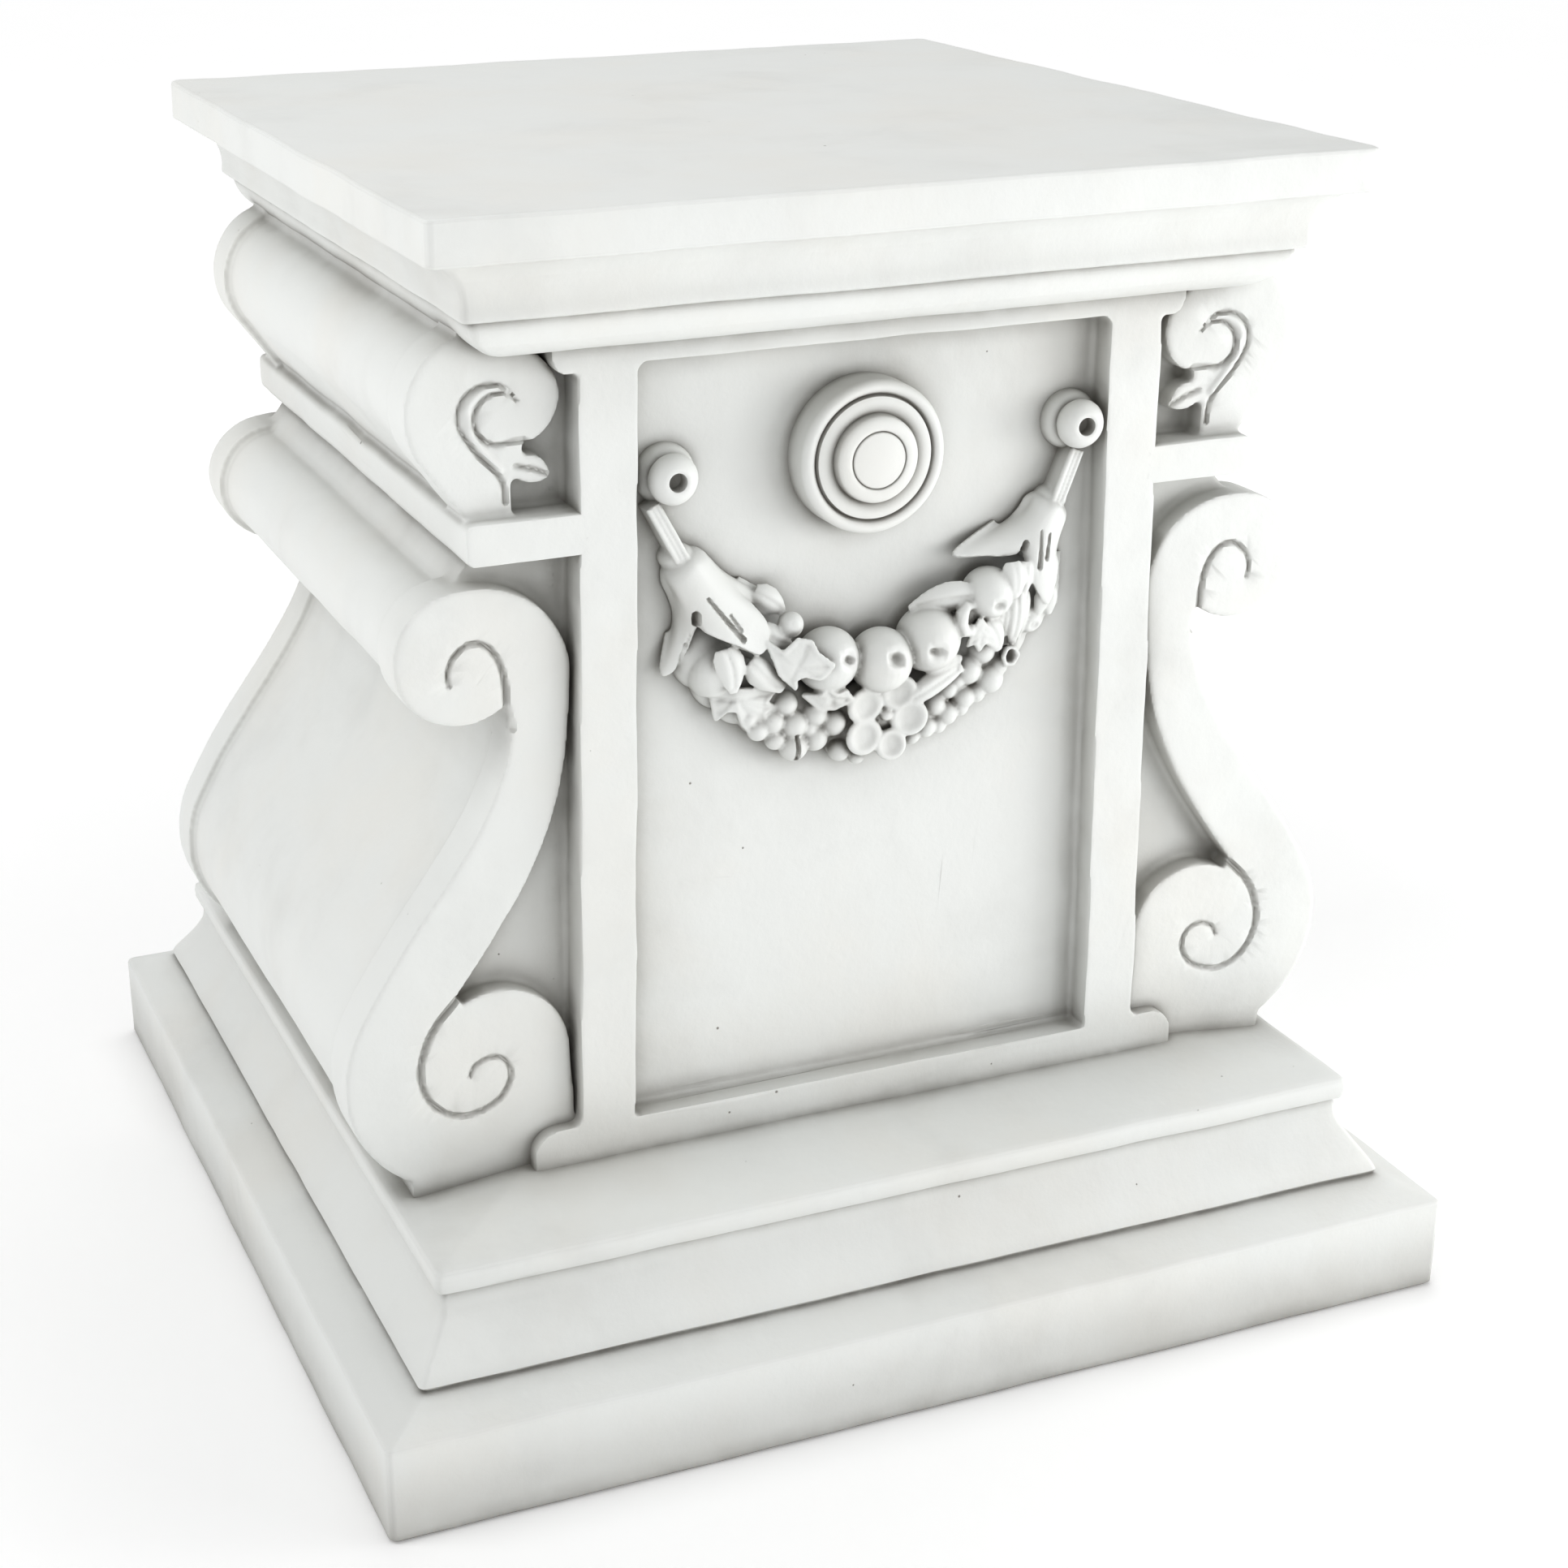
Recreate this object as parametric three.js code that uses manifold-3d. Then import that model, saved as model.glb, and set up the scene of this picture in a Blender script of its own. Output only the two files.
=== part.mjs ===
import * as THREE from 'three';
import { mergeVertices } from 'three/addons/utils/BufferGeometryUtils.js';
import Module from 'manifold-3d';

// A square garden pedestal for a statue, cast in one piece: a plinth and base moulding,
// a block with a framed panel on its front and back, a scrolled console on each side,
// and a cornice under a square slab. The front panel carries a roundel and a festoon of
// fruit hung from two pegs. Millimetres, +Z up, front towards -Y, origin in the middle
// of the underside.

// plinth and base moulding, as setbacks from the plinth's edge and heights
const plinthWidth = 396;
const plinthDepth = 392;
const plinthHeight = 35;
const plinthArris = 2.6;
const plinthCorner = 3.5;
const washRise = 6.5;
const baseCoveSetback = 16.5;
const baseQuirk = 1.4;
const baseCoveHeight = 20;
const baseCoveReach = 12.2;
const neckHeight = 6.5;
const lipReach = 2.3;
const lipHeight = 7.5;
const lipCorner = 1.6;
const footRise = 6;

// block between the base and the cornice
const blockWidth = 212;
const blockHeight = 277.5;
const frameDepth = 254;
const scrollSetback = 5;
const panelSetback = 10.5;
const fieldSetback = 14;

// frame round each panel
const stileWidth = 19.3;
const stileFlare = 4.6;
const topRail = 6.5;
const bottomRail = 13;
const panelCorner = 3;
const topEarReach = 8.5;
const topEarHeight = 8.5;
const topEarRadius = 5.5;
const bottomEarReach = 17;
const bottomEarHeight = 14;
const bottomEarRadius = 9;

// cornice and slab, as setbacks from the slab's edge and heights
const slabWidth = 316;
const slabDepth = 321;
const slabThickness = 13;
const slabArris = 1.4;
const slabCorner = 3.5;
const upperCoveSetback = 3;
const upperCoveReach = 11;
const upperCoveHeight = 16;
const filletHeight = 4;
const soffitReach = 4;
const soffitDrop = 2;
const lowerCoveReach = 14.5;
const lowerCoveHeight = 12;

// side consoles: each reach is from the block's side
const consoleInset = 2.5;
const rimWidth = 18;
const upperScrollReach = 24.5;
const upperScrollDrop = 18.4;
const upperScrollRadius = 24.8;
const lobeReach = 14.4;
const lobeDrop = 15;
const lobeRadius = 14.4;
const armReach = 33;
const armThickness = 13.6;
const armDrop = 51.3;
const armRadius = 3;
const voluteReach = 34.4;
const voluteDrop = 30.6;
const voluteRadius = 22;
const bandReach = 29.8;
const bandDrop = 39.3;
const bandRadius = 31.2;
const notchReach = 18.5;
const notchDrop = 51.5;
const bulgeReach = 35.8;
const bulgeRise = 39.5;
const bulgeRadius = 43.4;
const footReach = 57;
const ringReach = 26.2;
const ringRise = 42.5;
const ringRadius = 24.5;
const faceGap = 1.4;

// spiral grooves on the console faces
const grooveWidth = 3.2;
const grooveDepth = 2.6;
const eyeReach = 30.5;
const eyeDrop = 36.2;
const eyeRadius = 9.3;
const curlReach = 31;
const curlRise = 35.5;
const curlInner = 7.5;
const curlOuter = 30;
const stemWidth = 1.7;
const stemDepth = 1.4;
const stemRadius = 9.7;
const stemInnerRadius = 7.9;
const stemReach = 22.7;
const stemDrop = 19.8;
const sprigWidth = 9;
const sprigLength = 15;

// roundel in the front panel
const roundelShift = -2.5;
const roundelDrop = 38;
const roundelRadius = 25.2;
const roundelHeight = 12;
const roundelRing = 22.3;
const roundelDish = 15;
const roundelBoss = 14.2;
const bossHeight = 4;
const incisedRadius = 9.4;

// pegs and festoon
const pegSpacing = 144;
const swagShift = 1.5;
const leftPegDrop = 38.2;
const rightPegDrop = 35.2;
const pegRadius = 10;
const pegNeck = 7.2;
const pegHead = 8;
const pegHeight = 13.5;
const pegHole = 2.8;
const pegHoleDepth = 4.5;
const drawnSpan = 144;

const stone = new THREE.MeshStandardMaterial({
  name: 'aged_white',
  color: 0xe4e7e3,
  roughness: 0.72,
  metalness: 0,
});

// heights
const coveFoot = plinthHeight + washRise;
const neckFoot = coveFoot + baseCoveHeight;
const lipFoot = neckFoot + neckHeight;
const lipTop = lipFoot + lipHeight;
const blockFoot = lipTop + footRise;
const blockTop = blockFoot + blockHeight;
const soffit = blockTop + lowerCoveHeight;
const filletFoot = soffit + soffitDrop;
const slabFoot = filletFoot + filletHeight + upperCoveHeight;
const slabTop = slabFoot + slabThickness;
const armFoot = blockTop - armDrop - armThickness;
const armTop = armFoot + armThickness;
const panelTop = blockTop - topRail;
const panelFoot = blockFoot + bottomRail;
const sunk = 8;

// upright planes, measured from the middle
const blockSide = blockWidth / 2;
const frameFace = frameDepth / 2;
const scrollFace = frameFace - scrollSetback;
const panelFace = frameFace - panelSetback;
const fieldFace = frameFace - fieldSetback;

const wasm = await Module();
wasm.setup();

/** Turns a geometry's triangles round if they face inwards. */
function faceOut(positions, triangles) {
  const corners = [new THREE.Vector3(), new THREE.Vector3(), new THREE.Vector3()];
  let volume = 0;
  for (let i = 0; i < triangles.length; i += 3) {
    corners.forEach((corner, k) => corner.fromArray(positions, 3 * triangles[i + k]));
    volume += corners[0].dot(corners[1].cross(corners[2]));
  }
  if (volume < 0) {
    for (let i = 0; i < triangles.length; i += 3) {
      const first = triangles[i];
      triangles[i] = triangles[i + 1];
      triangles[i + 1] = first;
    }
  }
}

/** Closes a geometry's seams and hands it over as a solid. */
function solid(geometry) {
  const bare = new THREE.BufferGeometry();
  bare.setAttribute('position', geometry.getAttribute('position').clone());
  if (geometry.index) bare.setIndex(geometry.index.clone());
  const merged = mergeVertices(bare, 1e-3);
  const all = merged.index.array;
  const kept = [];
  for (let i = 0; i < all.length; i += 3) {
    const [a, b, c] = [all[i], all[i + 1], all[i + 2]];
    if (a !== b && b !== c && c !== a) kept.push(a, b, c);
  }
  const positions = new Float32Array(merged.getAttribute('position').array);
  faceOut(positions, kept);
  return new wasm.Manifold(
    new wasm.Mesh({ numProp: 3, vertProperties: positions, triVerts: new Uint32Array(kept) }),
  );
}

/** Joins solids into one. */
function join(parts) {
  return parts.reduce((whole, part) => whole.add(part));
}

/** Skins rings of equal length into one closed geometry with a fan over each end. */
function loft(rings) {
  const count = rings[0].length;
  const vertices = rings.flat();
  const index = [];
  for (let r = 0; r + 1 < rings.length; r += 1) {
    for (let i = 0; i < count; i += 1) {
      const next = (i + 1) % count;
      const low = r * count;
      const high = low + count;
      index.push(low + i, low + next, high + next, low + i, high + next, high + i);
    }
  }
  for (const [ring, forward] of [[0, false], [rings.length - 1, true]]) {
    const middle = new THREE.Vector3();
    rings[ring].forEach((point) => middle.addScaledVector(point, 1 / count));
    vertices.push(middle);
    const centre = vertices.length - 1;
    for (let i = 0; i < count; i += 1) {
      const here = ring * count + i;
      const next = ring * count + ((i + 1) % count);
      index.push(...(forward ? [centre, here, next] : [centre, next, here]));
    }
  }
  const geometry = new THREE.BufferGeometry().setFromPoints(vertices);
  geometry.setIndex(index);
  return geometry;
}

/** Points of a level rectangle with rounded corners. */
function roundedRectangle(halfX, halfY, radius, z) {
  const steps = 2;
  const ring = [];
  const corners = [[1, 1], [-1, 1], [-1, -1], [1, -1]];
  corners.forEach(([sx, sy], quarter) => {
    for (let i = 0; i <= steps; i += 1) {
      const angle = (Math.PI / 2) * (quarter + i / steps);
      ring.push(new THREE.Vector3(
        sx * (halfX - radius) + radius * Math.cos(angle),
        sy * (halfY - radius) + radius * Math.sin(angle),
        z,
      ));
    }
  });
  return ring;
}

/** A moulding run round a rectangle: the path gives setback from the edge against height. */
function moulding(width, depth, corner, path) {
  const rings = path.getPoints(4).map((point) => roundedRectangle(
    width / 2 - point.x,
    depth / 2 - point.x,
    corner,
    point.y,
  ));
  return solid(loft(rings));
}

/** Extrudes an outline drawn in x and z between two depths along Y. */
function upright(shape, from, to, curveSegments = 5) {
  const geometry = new THREE.ExtrudeGeometry(shape, {
    depth: to - from, bevelEnabled: false, curveSegments,
  });
  geometry.rotateX(Math.PI / 2);
  geometry.translate(0, to, 0);
  return geometry;
}

/** The same geometry and its mirror image on the other side, as solids. */
function bothSides(geometry) {
  return [solid(geometry), solid(geometry.clone().scale(-1, 1, 1))];
}

/** A front piece and its copy turned to face the back, as solids on both sides. */
function fourWays(geometry) {
  return [...bothSides(geometry), ...bothSides(geometry.clone().scale(1, -1, 1))];
}

function box(width, depth, from, to) {
  const geometry = new THREE.BoxGeometry(width, depth, to - from);
  geometry.translate(0, 0, (from + to) / 2);
  return solid(geometry);
}

function basePath() {
  const neckSetback = baseCoveSetback + baseCoveReach;
  const lipSetback = neckSetback - lipReach;
  const blockSetback = (plinthDepth - frameDepth) / 2;
  const path = new THREE.Path();
  path.moveTo(0, 0);
  path.lineTo(0, plinthHeight - plinthArris);
  path.quadraticCurveTo(0, plinthHeight, plinthArris, plinthHeight);
  path.lineTo(baseCoveSetback, coveFoot - baseQuirk);
  path.lineTo(baseCoveSetback, coveFoot);
  path.quadraticCurveTo(neckSetback - 1, coveFoot + 3, neckSetback, neckFoot);
  path.lineTo(neckSetback, lipFoot);
  path.lineTo(lipSetback, lipFoot + lipCorner);
  path.lineTo(lipSetback, lipTop - lipCorner);
  path.quadraticCurveTo(lipSetback, lipTop, lipSetback + lipCorner, lipTop);
  path.lineTo(blockSetback, blockFoot);
  return path;
}

function cornicePath() {
  const coveSetback = upperCoveSetback + upperCoveReach;
  const lowerSetback = coveSetback + soffitReach;
  const blockSetback = lowerSetback + lowerCoveReach;
  const coveTop = slabFoot - 1;
  const path = new THREE.Path();
  path.moveTo(blockSetback, blockTop);
  path.quadraticCurveTo(blockSetback, soffit, lowerSetback, soffit);
  path.lineTo(coveSetback, filletFoot);
  path.lineTo(coveSetback, filletFoot + filletHeight);
  path.quadraticCurveTo(coveSetback - 0.5, coveTop - 1, upperCoveSetback, coveTop);
  path.lineTo(slabArris, slabFoot);
  path.lineTo(0, slabFoot + slabArris);
  path.lineTo(0, slabTop - slabArris);
  path.lineTo(slabArris, slabTop);
  return path;
}

/** Half width of the frame at a height: the stiles lean out towards the foot. */
function frameHalf(z) {
  return blockSide - stileFlare * ((z - blockFoot) / blockHeight);
}

/** Face outline of the frame, with its ears and the opening for the panel. */
function frameShape() {
  const foot = blockFoot - sunk;
  const head = blockTop + sunk;
  const bottomEar = blockSide + bottomEarReach;
  const topEar = frameHalf(blockTop) + topEarReach;
  const earTop = blockFoot + bottomEarHeight;
  const earFoot = blockTop - topEarHeight;
  const shape = new THREE.Shape();
  shape.moveTo(-bottomEar, foot);
  shape.lineTo(bottomEar, foot);
  shape.lineTo(bottomEar, earTop - bottomEarRadius);
  shape.absarc(bottomEar - bottomEarRadius, earTop - bottomEarRadius, bottomEarRadius,
    0, Math.PI / 2, false);
  shape.lineTo(frameHalf(earTop), earTop);
  shape.lineTo(frameHalf(earFoot), earFoot);
  shape.lineTo(topEar - topEarRadius, earFoot);
  shape.absarc(topEar - topEarRadius, earFoot + topEarRadius, topEarRadius,
    -Math.PI / 2, 0, false);
  shape.lineTo(topEar, head);
  shape.lineTo(-topEar, head);
  shape.lineTo(-topEar, earFoot + topEarRadius);
  shape.absarc(-topEar + topEarRadius, earFoot + topEarRadius, topEarRadius,
    Math.PI, 1.5 * Math.PI, false);
  shape.lineTo(-frameHalf(earFoot), earFoot);
  shape.lineTo(-frameHalf(earTop), earTop);
  shape.absarc(-bottomEar + bottomEarRadius, earTop - bottomEarRadius, bottomEarRadius,
    Math.PI / 2, Math.PI, false);
  shape.closePath();

  const low = frameHalf(panelFoot) - stileWidth;
  const high = frameHalf(panelTop) - stileWidth;
  const opening = new THREE.Path();
  opening.moveTo(-low, panelFoot);
  opening.lineTo(-high, panelTop - panelCorner);
  opening.quadraticCurveTo(-high, panelTop, -high + panelCorner, panelTop);
  opening.lineTo(high - panelCorner, panelTop);
  opening.quadraticCurveTo(high, panelTop, high, panelTop - panelCorner);
  opening.lineTo(low, panelFoot);
  opening.closePath();
  shape.holes.push(opening);
  return shape;
}

/** Outer edge of the lower console from its volute down to the foot. */
function lowerEdge(shape, inset) {
  const start = 0.49 * Math.PI;
  const leave = -0.72 * Math.PI;
  const meet = 0.155 * Math.PI;
  const foot = -0.325 * Math.PI;
  const volute = { x: blockSide + voluteReach, z: armFoot - voluteDrop };
  const notch = { x: blockSide + notchReach - inset, z: armFoot - notchDrop };
  const bulge = { x: blockSide + bulgeReach, z: blockFoot + bulgeRise };
  const radius = bulgeRadius - inset;
  const landing = new THREE.Vector2(
    bulge.x + radius * Math.cos(meet),
    bulge.z + radius * Math.sin(meet),
  );
  const fall = (notch.z - landing.y) / 2.2;
  shape.absarc(volute.x, volute.z, voluteRadius - inset, start, leave, true);
  shape.lineTo(notch.x, notch.z);
  shape.bezierCurveTo(
    notch.x, notch.z - 0.75 * fall,
    landing.x - fall * Math.sin(meet), landing.y + fall * Math.cos(meet),
    landing.x, landing.y,
  );
  shape.absarc(bulge.x, bulge.z, radius, meet, foot, true);
  shape.lineTo(blockSide + footReach - inset, blockFoot - sunk);
}

/** Outer edge of the upper console from the cornice down to the arm. */
function upperEdge(shape, inset) {
  const centre = { x: blockSide + upperScrollReach, z: blockTop - upperScrollDrop };
  const start = 0.4 * Math.PI;
  const end = -0.22 * Math.PI;
  shape.lineTo(centre.x + upperScrollRadius * Math.cos(start) - inset, soffit);
  shape.absarc(centre.x, centre.z, upperScrollRadius - inset, start, end, true);
  shape.lineTo(blockSide + armReach - 2 - inset, armTop);
}

/** Side silhouette of a console, filled in to the block. */
function consoleBody() {
  const inner = blockSide - sunk;
  const neck = blockSide + armReach - 8;
  const upper = new THREE.Shape();
  upper.moveTo(inner, soffit);
  upperEdge(upper, consoleInset);
  upper.lineTo(neck, armFoot + 2);
  upper.lineTo(inner, armFoot + 2);
  upper.closePath();
  const lower = new THREE.Shape();
  lower.moveTo(inner, armFoot + 2);
  lower.lineTo(neck, armFoot + 2);
  lowerEdge(lower, consoleInset);
  lower.lineTo(inner, blockFoot - sunk);
  lower.closePath();
  return [
    ...bothSides(upright(upper, -fieldFace, fieldFace, 4)),
    ...bothSides(upright(lower, -fieldFace, fieldFace, 4)),
  ];
}

/** Face of the lower console: the S-shaped band between its volute and its curl. */
function lowerFace() {
  const band = { x: blockSide + bandReach, z: armFoot - bandDrop };
  const ring = { x: blockSide + ringReach, z: blockFoot + ringRise };
  const inner = blockSide - sunk;
  const beside = frameHalf(ring.z) + faceGap;
  const shape = new THREE.Shape();
  const left = band.x - bandRadius;
  shape.moveTo(left, band.z);
  shape.absarc(band.x, band.z, bandRadius, Math.PI, 0.46 * Math.PI, true);
  lowerEdge(shape, 0);
  shape.lineTo(inner, blockFoot - sunk);
  shape.lineTo(inner, blockFoot + bottomEarHeight);
  shape.lineTo(beside, blockFoot + bottomEarHeight + 3);
  shape.lineTo(beside, ring.z);
  shape.absarc(ring.x, ring.z, ringRadius, Math.PI, 0.33 * Math.PI, true);
  const rise = band.z - ring.z;
  const joint = { x: ring.x + 0.58 * ringRadius, z: ring.z + ringRadius };
  shape.lineTo(joint.x, joint.z);
  shape.bezierCurveTo(
    joint.x - 0.22 * rise, joint.z + 0.3 * rise,
    left + 0.01 * rise, band.z - 0.38 * rise,
    left, band.z,
  );
  return shape;
}

/** Face of the upper console: a disc, an inner lobe and a sprig pointing at the frame. */
function upperFace() {
  const lobe = { x: blockSide + lobeReach, z: blockTop - lobeDrop };
  const column = blockSide + upperScrollReach - lobeRadius + 6;
  const sprig = armTop + 9.5;
  const start = -0.62 * Math.PI;
  const end = -1.3 * Math.PI;
  const shape = new THREE.Shape();
  shape.moveTo(column, armTop - 2);
  shape.lineTo(column, sprig);
  shape.quadraticCurveTo(column - 0.3 * sprigLength, sprig - 1, column - 0.86 * sprigLength,
    sprig + 0.25 * sprigWidth);
  shape.quadraticCurveTo(column - 0.7 * sprigLength, sprig + sprigWidth,
    column - 0.25 * sprigLength, sprig + sprigWidth);
  shape.lineTo(lobe.x + lobeRadius * Math.cos(start), lobe.z + lobeRadius * Math.sin(start));
  shape.absarc(lobe.x, lobe.z, lobeRadius, start, end, true);
  shape.lineTo(blockSide + topEarReach, blockTop - 1);
  shape.lineTo(blockSide + topEarReach, soffit);
  upperEdge(shape, 0);
  shape.lineTo(blockSide + armReach - 4, armTop - 2);
  shape.closePath();
  return shape;
}

/** Full-depth arm between the two scrolls, its end rounded. */
function armShape() {
  const end = blockSide + armReach;
  const shape = new THREE.Shape();
  shape.moveTo(blockSide - sunk, armFoot);
  shape.lineTo(end - armRadius, armFoot);
  shape.absarc(end - armRadius, armFoot + armRadius, armRadius, -Math.PI / 2, 0, false);
  shape.absarc(end - armRadius, armTop - armRadius, armRadius, 0, Math.PI / 2, false);
  shape.lineTo(blockSide - sunk, armTop);
  shape.closePath();
  return shape;
}

/** A groove of V section along points on a console face, fading out at its first end. */
function groove(points, width, depth) {
  const rings = points.map((point, i) => {
    const before = points[Math.max(i - 1, 0)];
    const after = points[Math.min(i + 1, points.length - 1)];
    const along = after.clone().sub(before).normalize();
    const open = Math.min(1, 0.25 + (3 * i) / points.length);
    const side = (width / 2) * open;
    const out = -scrollFace - 1;
    return [
      new THREE.Vector3(point.x - along.y * side, out, point.y + along.x * side),
      new THREE.Vector3(point.x, -scrollFace + depth * open, point.y),
      new THREE.Vector3(point.x + along.y * side, out, point.y - along.x * side),
    ];
  });
  return loft(rings);
}

/** Points round an arc, from one angle to another. */
function arcPoints(x, z, radius, from, to, steps) {
  const points = [];
  for (let i = 0; i <= steps; i += 1) {
    const angle = from + ((to - from) * i) / steps;
    points.push(new THREE.Vector2(x + radius * Math.cos(angle), z + radius * Math.sin(angle)));
  }
  return points;
}

/** Groove that parts the volute's eye from the band and runs down into the notch. */
function voluteGroove() {
  const eye = { x: blockSide + eyeReach, z: armFoot - eyeDrop };
  const notch = new THREE.Vector2(blockSide + notchReach, armFoot - notchDrop - 3);
  return groove(
    [...arcPoints(eye.x, eye.z, eyeRadius, 0.05 * Math.PI, 1.05 * Math.PI, 7), notch],
    grooveWidth,
    grooveDepth,
  );
}

/** Spiral groove of the curl in the console's foot: its radius grows with the cube of the turn. */
function curlGroove() {
  const steps = 20;
  const from = 0.08 * Math.PI;
  const sweep = 2.28 * Math.PI;
  const points = [];
  for (let i = 0; i <= steps; i += 1) {
    const t = i / steps;
    const radius = curlInner + (curlOuter - curlInner) * t ** 3;
    const angle = from + sweep * t;
    points.push(new THREE.Vector2(
      blockSide + curlReach + radius * Math.cos(angle),
      blockFoot + curlRise + radius * Math.sin(angle),
    ));
  }
  return groove(points, grooveWidth, grooveDepth);
}

/** The two lines of the stem that curls over in the upper console's face. */
function stemGrooves() {
  const x = blockSide + stemReach;
  const z = blockTop - stemDrop;
  const outer = arcPoints(x, z, stemRadius, 0.85 * Math.PI, -0.35 * Math.PI, 8);
  outer.push(new THREE.Vector2(x - 0.1 * stemRadius, z - 1.6 * stemRadius));
  outer.push(new THREE.Vector2(x - 0.4 * stemRadius, z - 2.4 * stemRadius));
  const inner = arcPoints(x - 3, z - 1, stemInnerRadius, 0.7 * Math.PI, -0.6 * Math.PI, 7);
  return [groove(outer, stemWidth, stemDepth), groove(inner, stemWidth, stemDepth)];
}

/** A turned ornament standing on the front panel. */
function turned(path, x, z, segments) {
  const geometry = new THREE.LatheGeometry(path.getPoints(2), segments);
  geometry.rotateX(Math.PI);
  geometry.translate(x, -panelFace, z);
  return solid(geometry);
}

function roundel() {
  const rim = roundelRadius - roundelRing;
  const dish = roundelHeight - 1.2;
  const top = roundelHeight + bossHeight;
  const path = new THREE.Path();
  path.moveTo(0, -sunk);
  path.lineTo(roundelRadius, -sunk);
  path.lineTo(roundelRadius, roundelHeight - rim);
  path.quadraticCurveTo(roundelRadius, roundelHeight, roundelRing + 0.5, roundelHeight);
  path.lineTo(roundelRing, dish - 0.8);
  path.quadraticCurveTo(roundelRing - 1.5, roundelHeight + 0.6, roundelDish, dish - 1.6);
  path.lineTo(roundelBoss, top - 1.2);
  path.lineTo(roundelBoss - 1.2, top);
  path.lineTo(incisedRadius + 0.5, top);
  path.lineTo(incisedRadius, top - 0.8);
  path.lineTo(incisedRadius - 0.5, top);
  path.lineTo(0, top);
  return turned(path, roundelShift, panelTop - roundelDrop, 28);
}

function peg(x, drop) {
  const shoulder = 0.42 * pegHeight;
  const head = 0.62 * pegHeight;
  const path = new THREE.Path();
  path.moveTo(0, -sunk);
  path.lineTo(pegRadius, -sunk);
  path.lineTo(pegRadius, 0);
  path.quadraticCurveTo(pegRadius, shoulder, pegNeck, shoulder);
  path.lineTo(pegHead, head);
  path.quadraticCurveTo(pegHead, pegHeight, pegHole + 0.6, pegHeight);
  path.lineTo(pegHole, pegHeight - 0.6);
  path.lineTo(0.7 * pegHole, pegHeight - pegHoleDepth);
  path.lineTo(0, pegHeight - pegHoleDepth);
  return turned(path, x, panelTop - drop, 12);
}

// festoon: places are given from the middle between the pegs, and keep their share of its span
const unit = pegSpacing / drawnSpan;
const pegLine = panelTop - (leftPegDrop + rightPegDrop) / 2;

function place(u, v, lift) {
  return new THREE.Vector3(swagShift + u * unit, -panelFace - lift * unit, pegLine + v * unit);
}

/** A fruit with a dimple at its eye, which looks towards the side and up or down. */
function fruit(u, v, lift, radius, turn, tip) {
  const path = new THREE.Path();
  path.moveTo(0, -radius);
  path.absarc(0, 0, radius, -Math.PI / 2, 0.36 * Math.PI, false);
  path.quadraticCurveTo(0.2 * radius, 1.05 * radius, 0, 0.78 * radius);
  const geometry = new THREE.LatheGeometry(path.getPoints(2), 10);
  geometry.scale(unit, unit, unit);
  geometry.rotateX(Math.PI / 2);
  geometry.rotateX(Math.PI - tip);
  geometry.rotateZ(turn);
  geometry.translate(...place(u, v, lift));
  return solid(geometry);
}

/** A small round fruit or petal: a dome on a straight stud that reaches back to the panel. */
function berry(u, v, lift, radius, domeHeight = radius) {
  const path = new THREE.Path();
  path.moveTo(0, -lift - 3);
  path.lineTo(0.8 * radius, -lift - 3);
  path.lineTo(radius, 0);
  path.absellipse(0, 0, radius, domeHeight, 0, Math.PI / 2, false);
  const geometry = new THREE.LatheGeometry(path.getPoints(1), 8);
  geometry.scale(unit, unit, unit);
  geometry.rotateX(Math.PI);
  geometry.translate(...place(u, v, lift));
  return solid(geometry);
}

/** A blade or lobe with a vein down its middle, lofted from its root to its tip. */
function blade(root, tip, width, rise, options = {}) {
  const { lift = 4, tipLift = 2, bend = 0, full = 0.5, steps = 4 } = options;
  const dx = tip[0] - root[0];
  const dz = tip[1] - root[1];
  const length = Math.hypot(dx, dz);
  const [ax, az] = [dx / length, dz / length];
  const rings = [];
  for (let i = 0; i <= steps; i += 1) {
    const t = i / steps;
    const swell = Math.sin(Math.PI * Math.min(0.97, Math.max(0.1, t ** (2 * full))));
    const half = (width / 2) * Math.max(0.12, swell);
    const sway = bend * Math.sin(Math.PI * t);
    const base = lift + (tipLift - lift) * t;
    const high = base + rise * Math.max(0.15, swell);
    const at = (cross, level) => place(
      root[0] + dx * t - az * (cross + sway),
      root[1] + dz * t + ax * (cross + sway),
      level,
    );
    rings.push([
      at(-half, base),
      at(-0.6 * half, high),
      at(0, high - 0.35 * rise * swell),
      at(0.6 * half, high),
      at(half, base),
      at(0, -3),
    ]);
  }
  return solid(loft(rings));
}

/** Half-round bell that opens from its neck to its mouth. */
function bell(neck, mouth, neckWidth, mouthWidth, rise) {
  const steps = 4;
  const sides = 6;
  const rings = [];
  const along = new THREE.Vector2(mouth[0] - neck[0], mouth[1] - neck[1]);
  const across = new THREE.Vector2(-along.y, along.x).normalize();
  for (let i = 0; i <= steps; i += 1) {
    const t = i / steps;
    const round = i === 0 ? 0.75 : 1;
    const half = (round * (neckWidth + (mouthWidth - neckWidth) * t ** 1.6)) / 2;
    const ring = [];
    for (let k = 0; k <= sides; k += 1) {
      const angle = (Math.PI * k) / sides;
      const cross = -half * Math.cos(angle);
      ring.push(place(
        neck[0] + along.x * t + across.x * cross,
        neck[1] + along.y * t + across.y * cross,
        1 + round * rise * Math.sin(angle),
      ));
    }
    ring.push(place(neck[0] + along.x * t, neck[1] + along.y * t, -3));
    rings.push(ring);
  }
  return solid(loft(rings));
}

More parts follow.
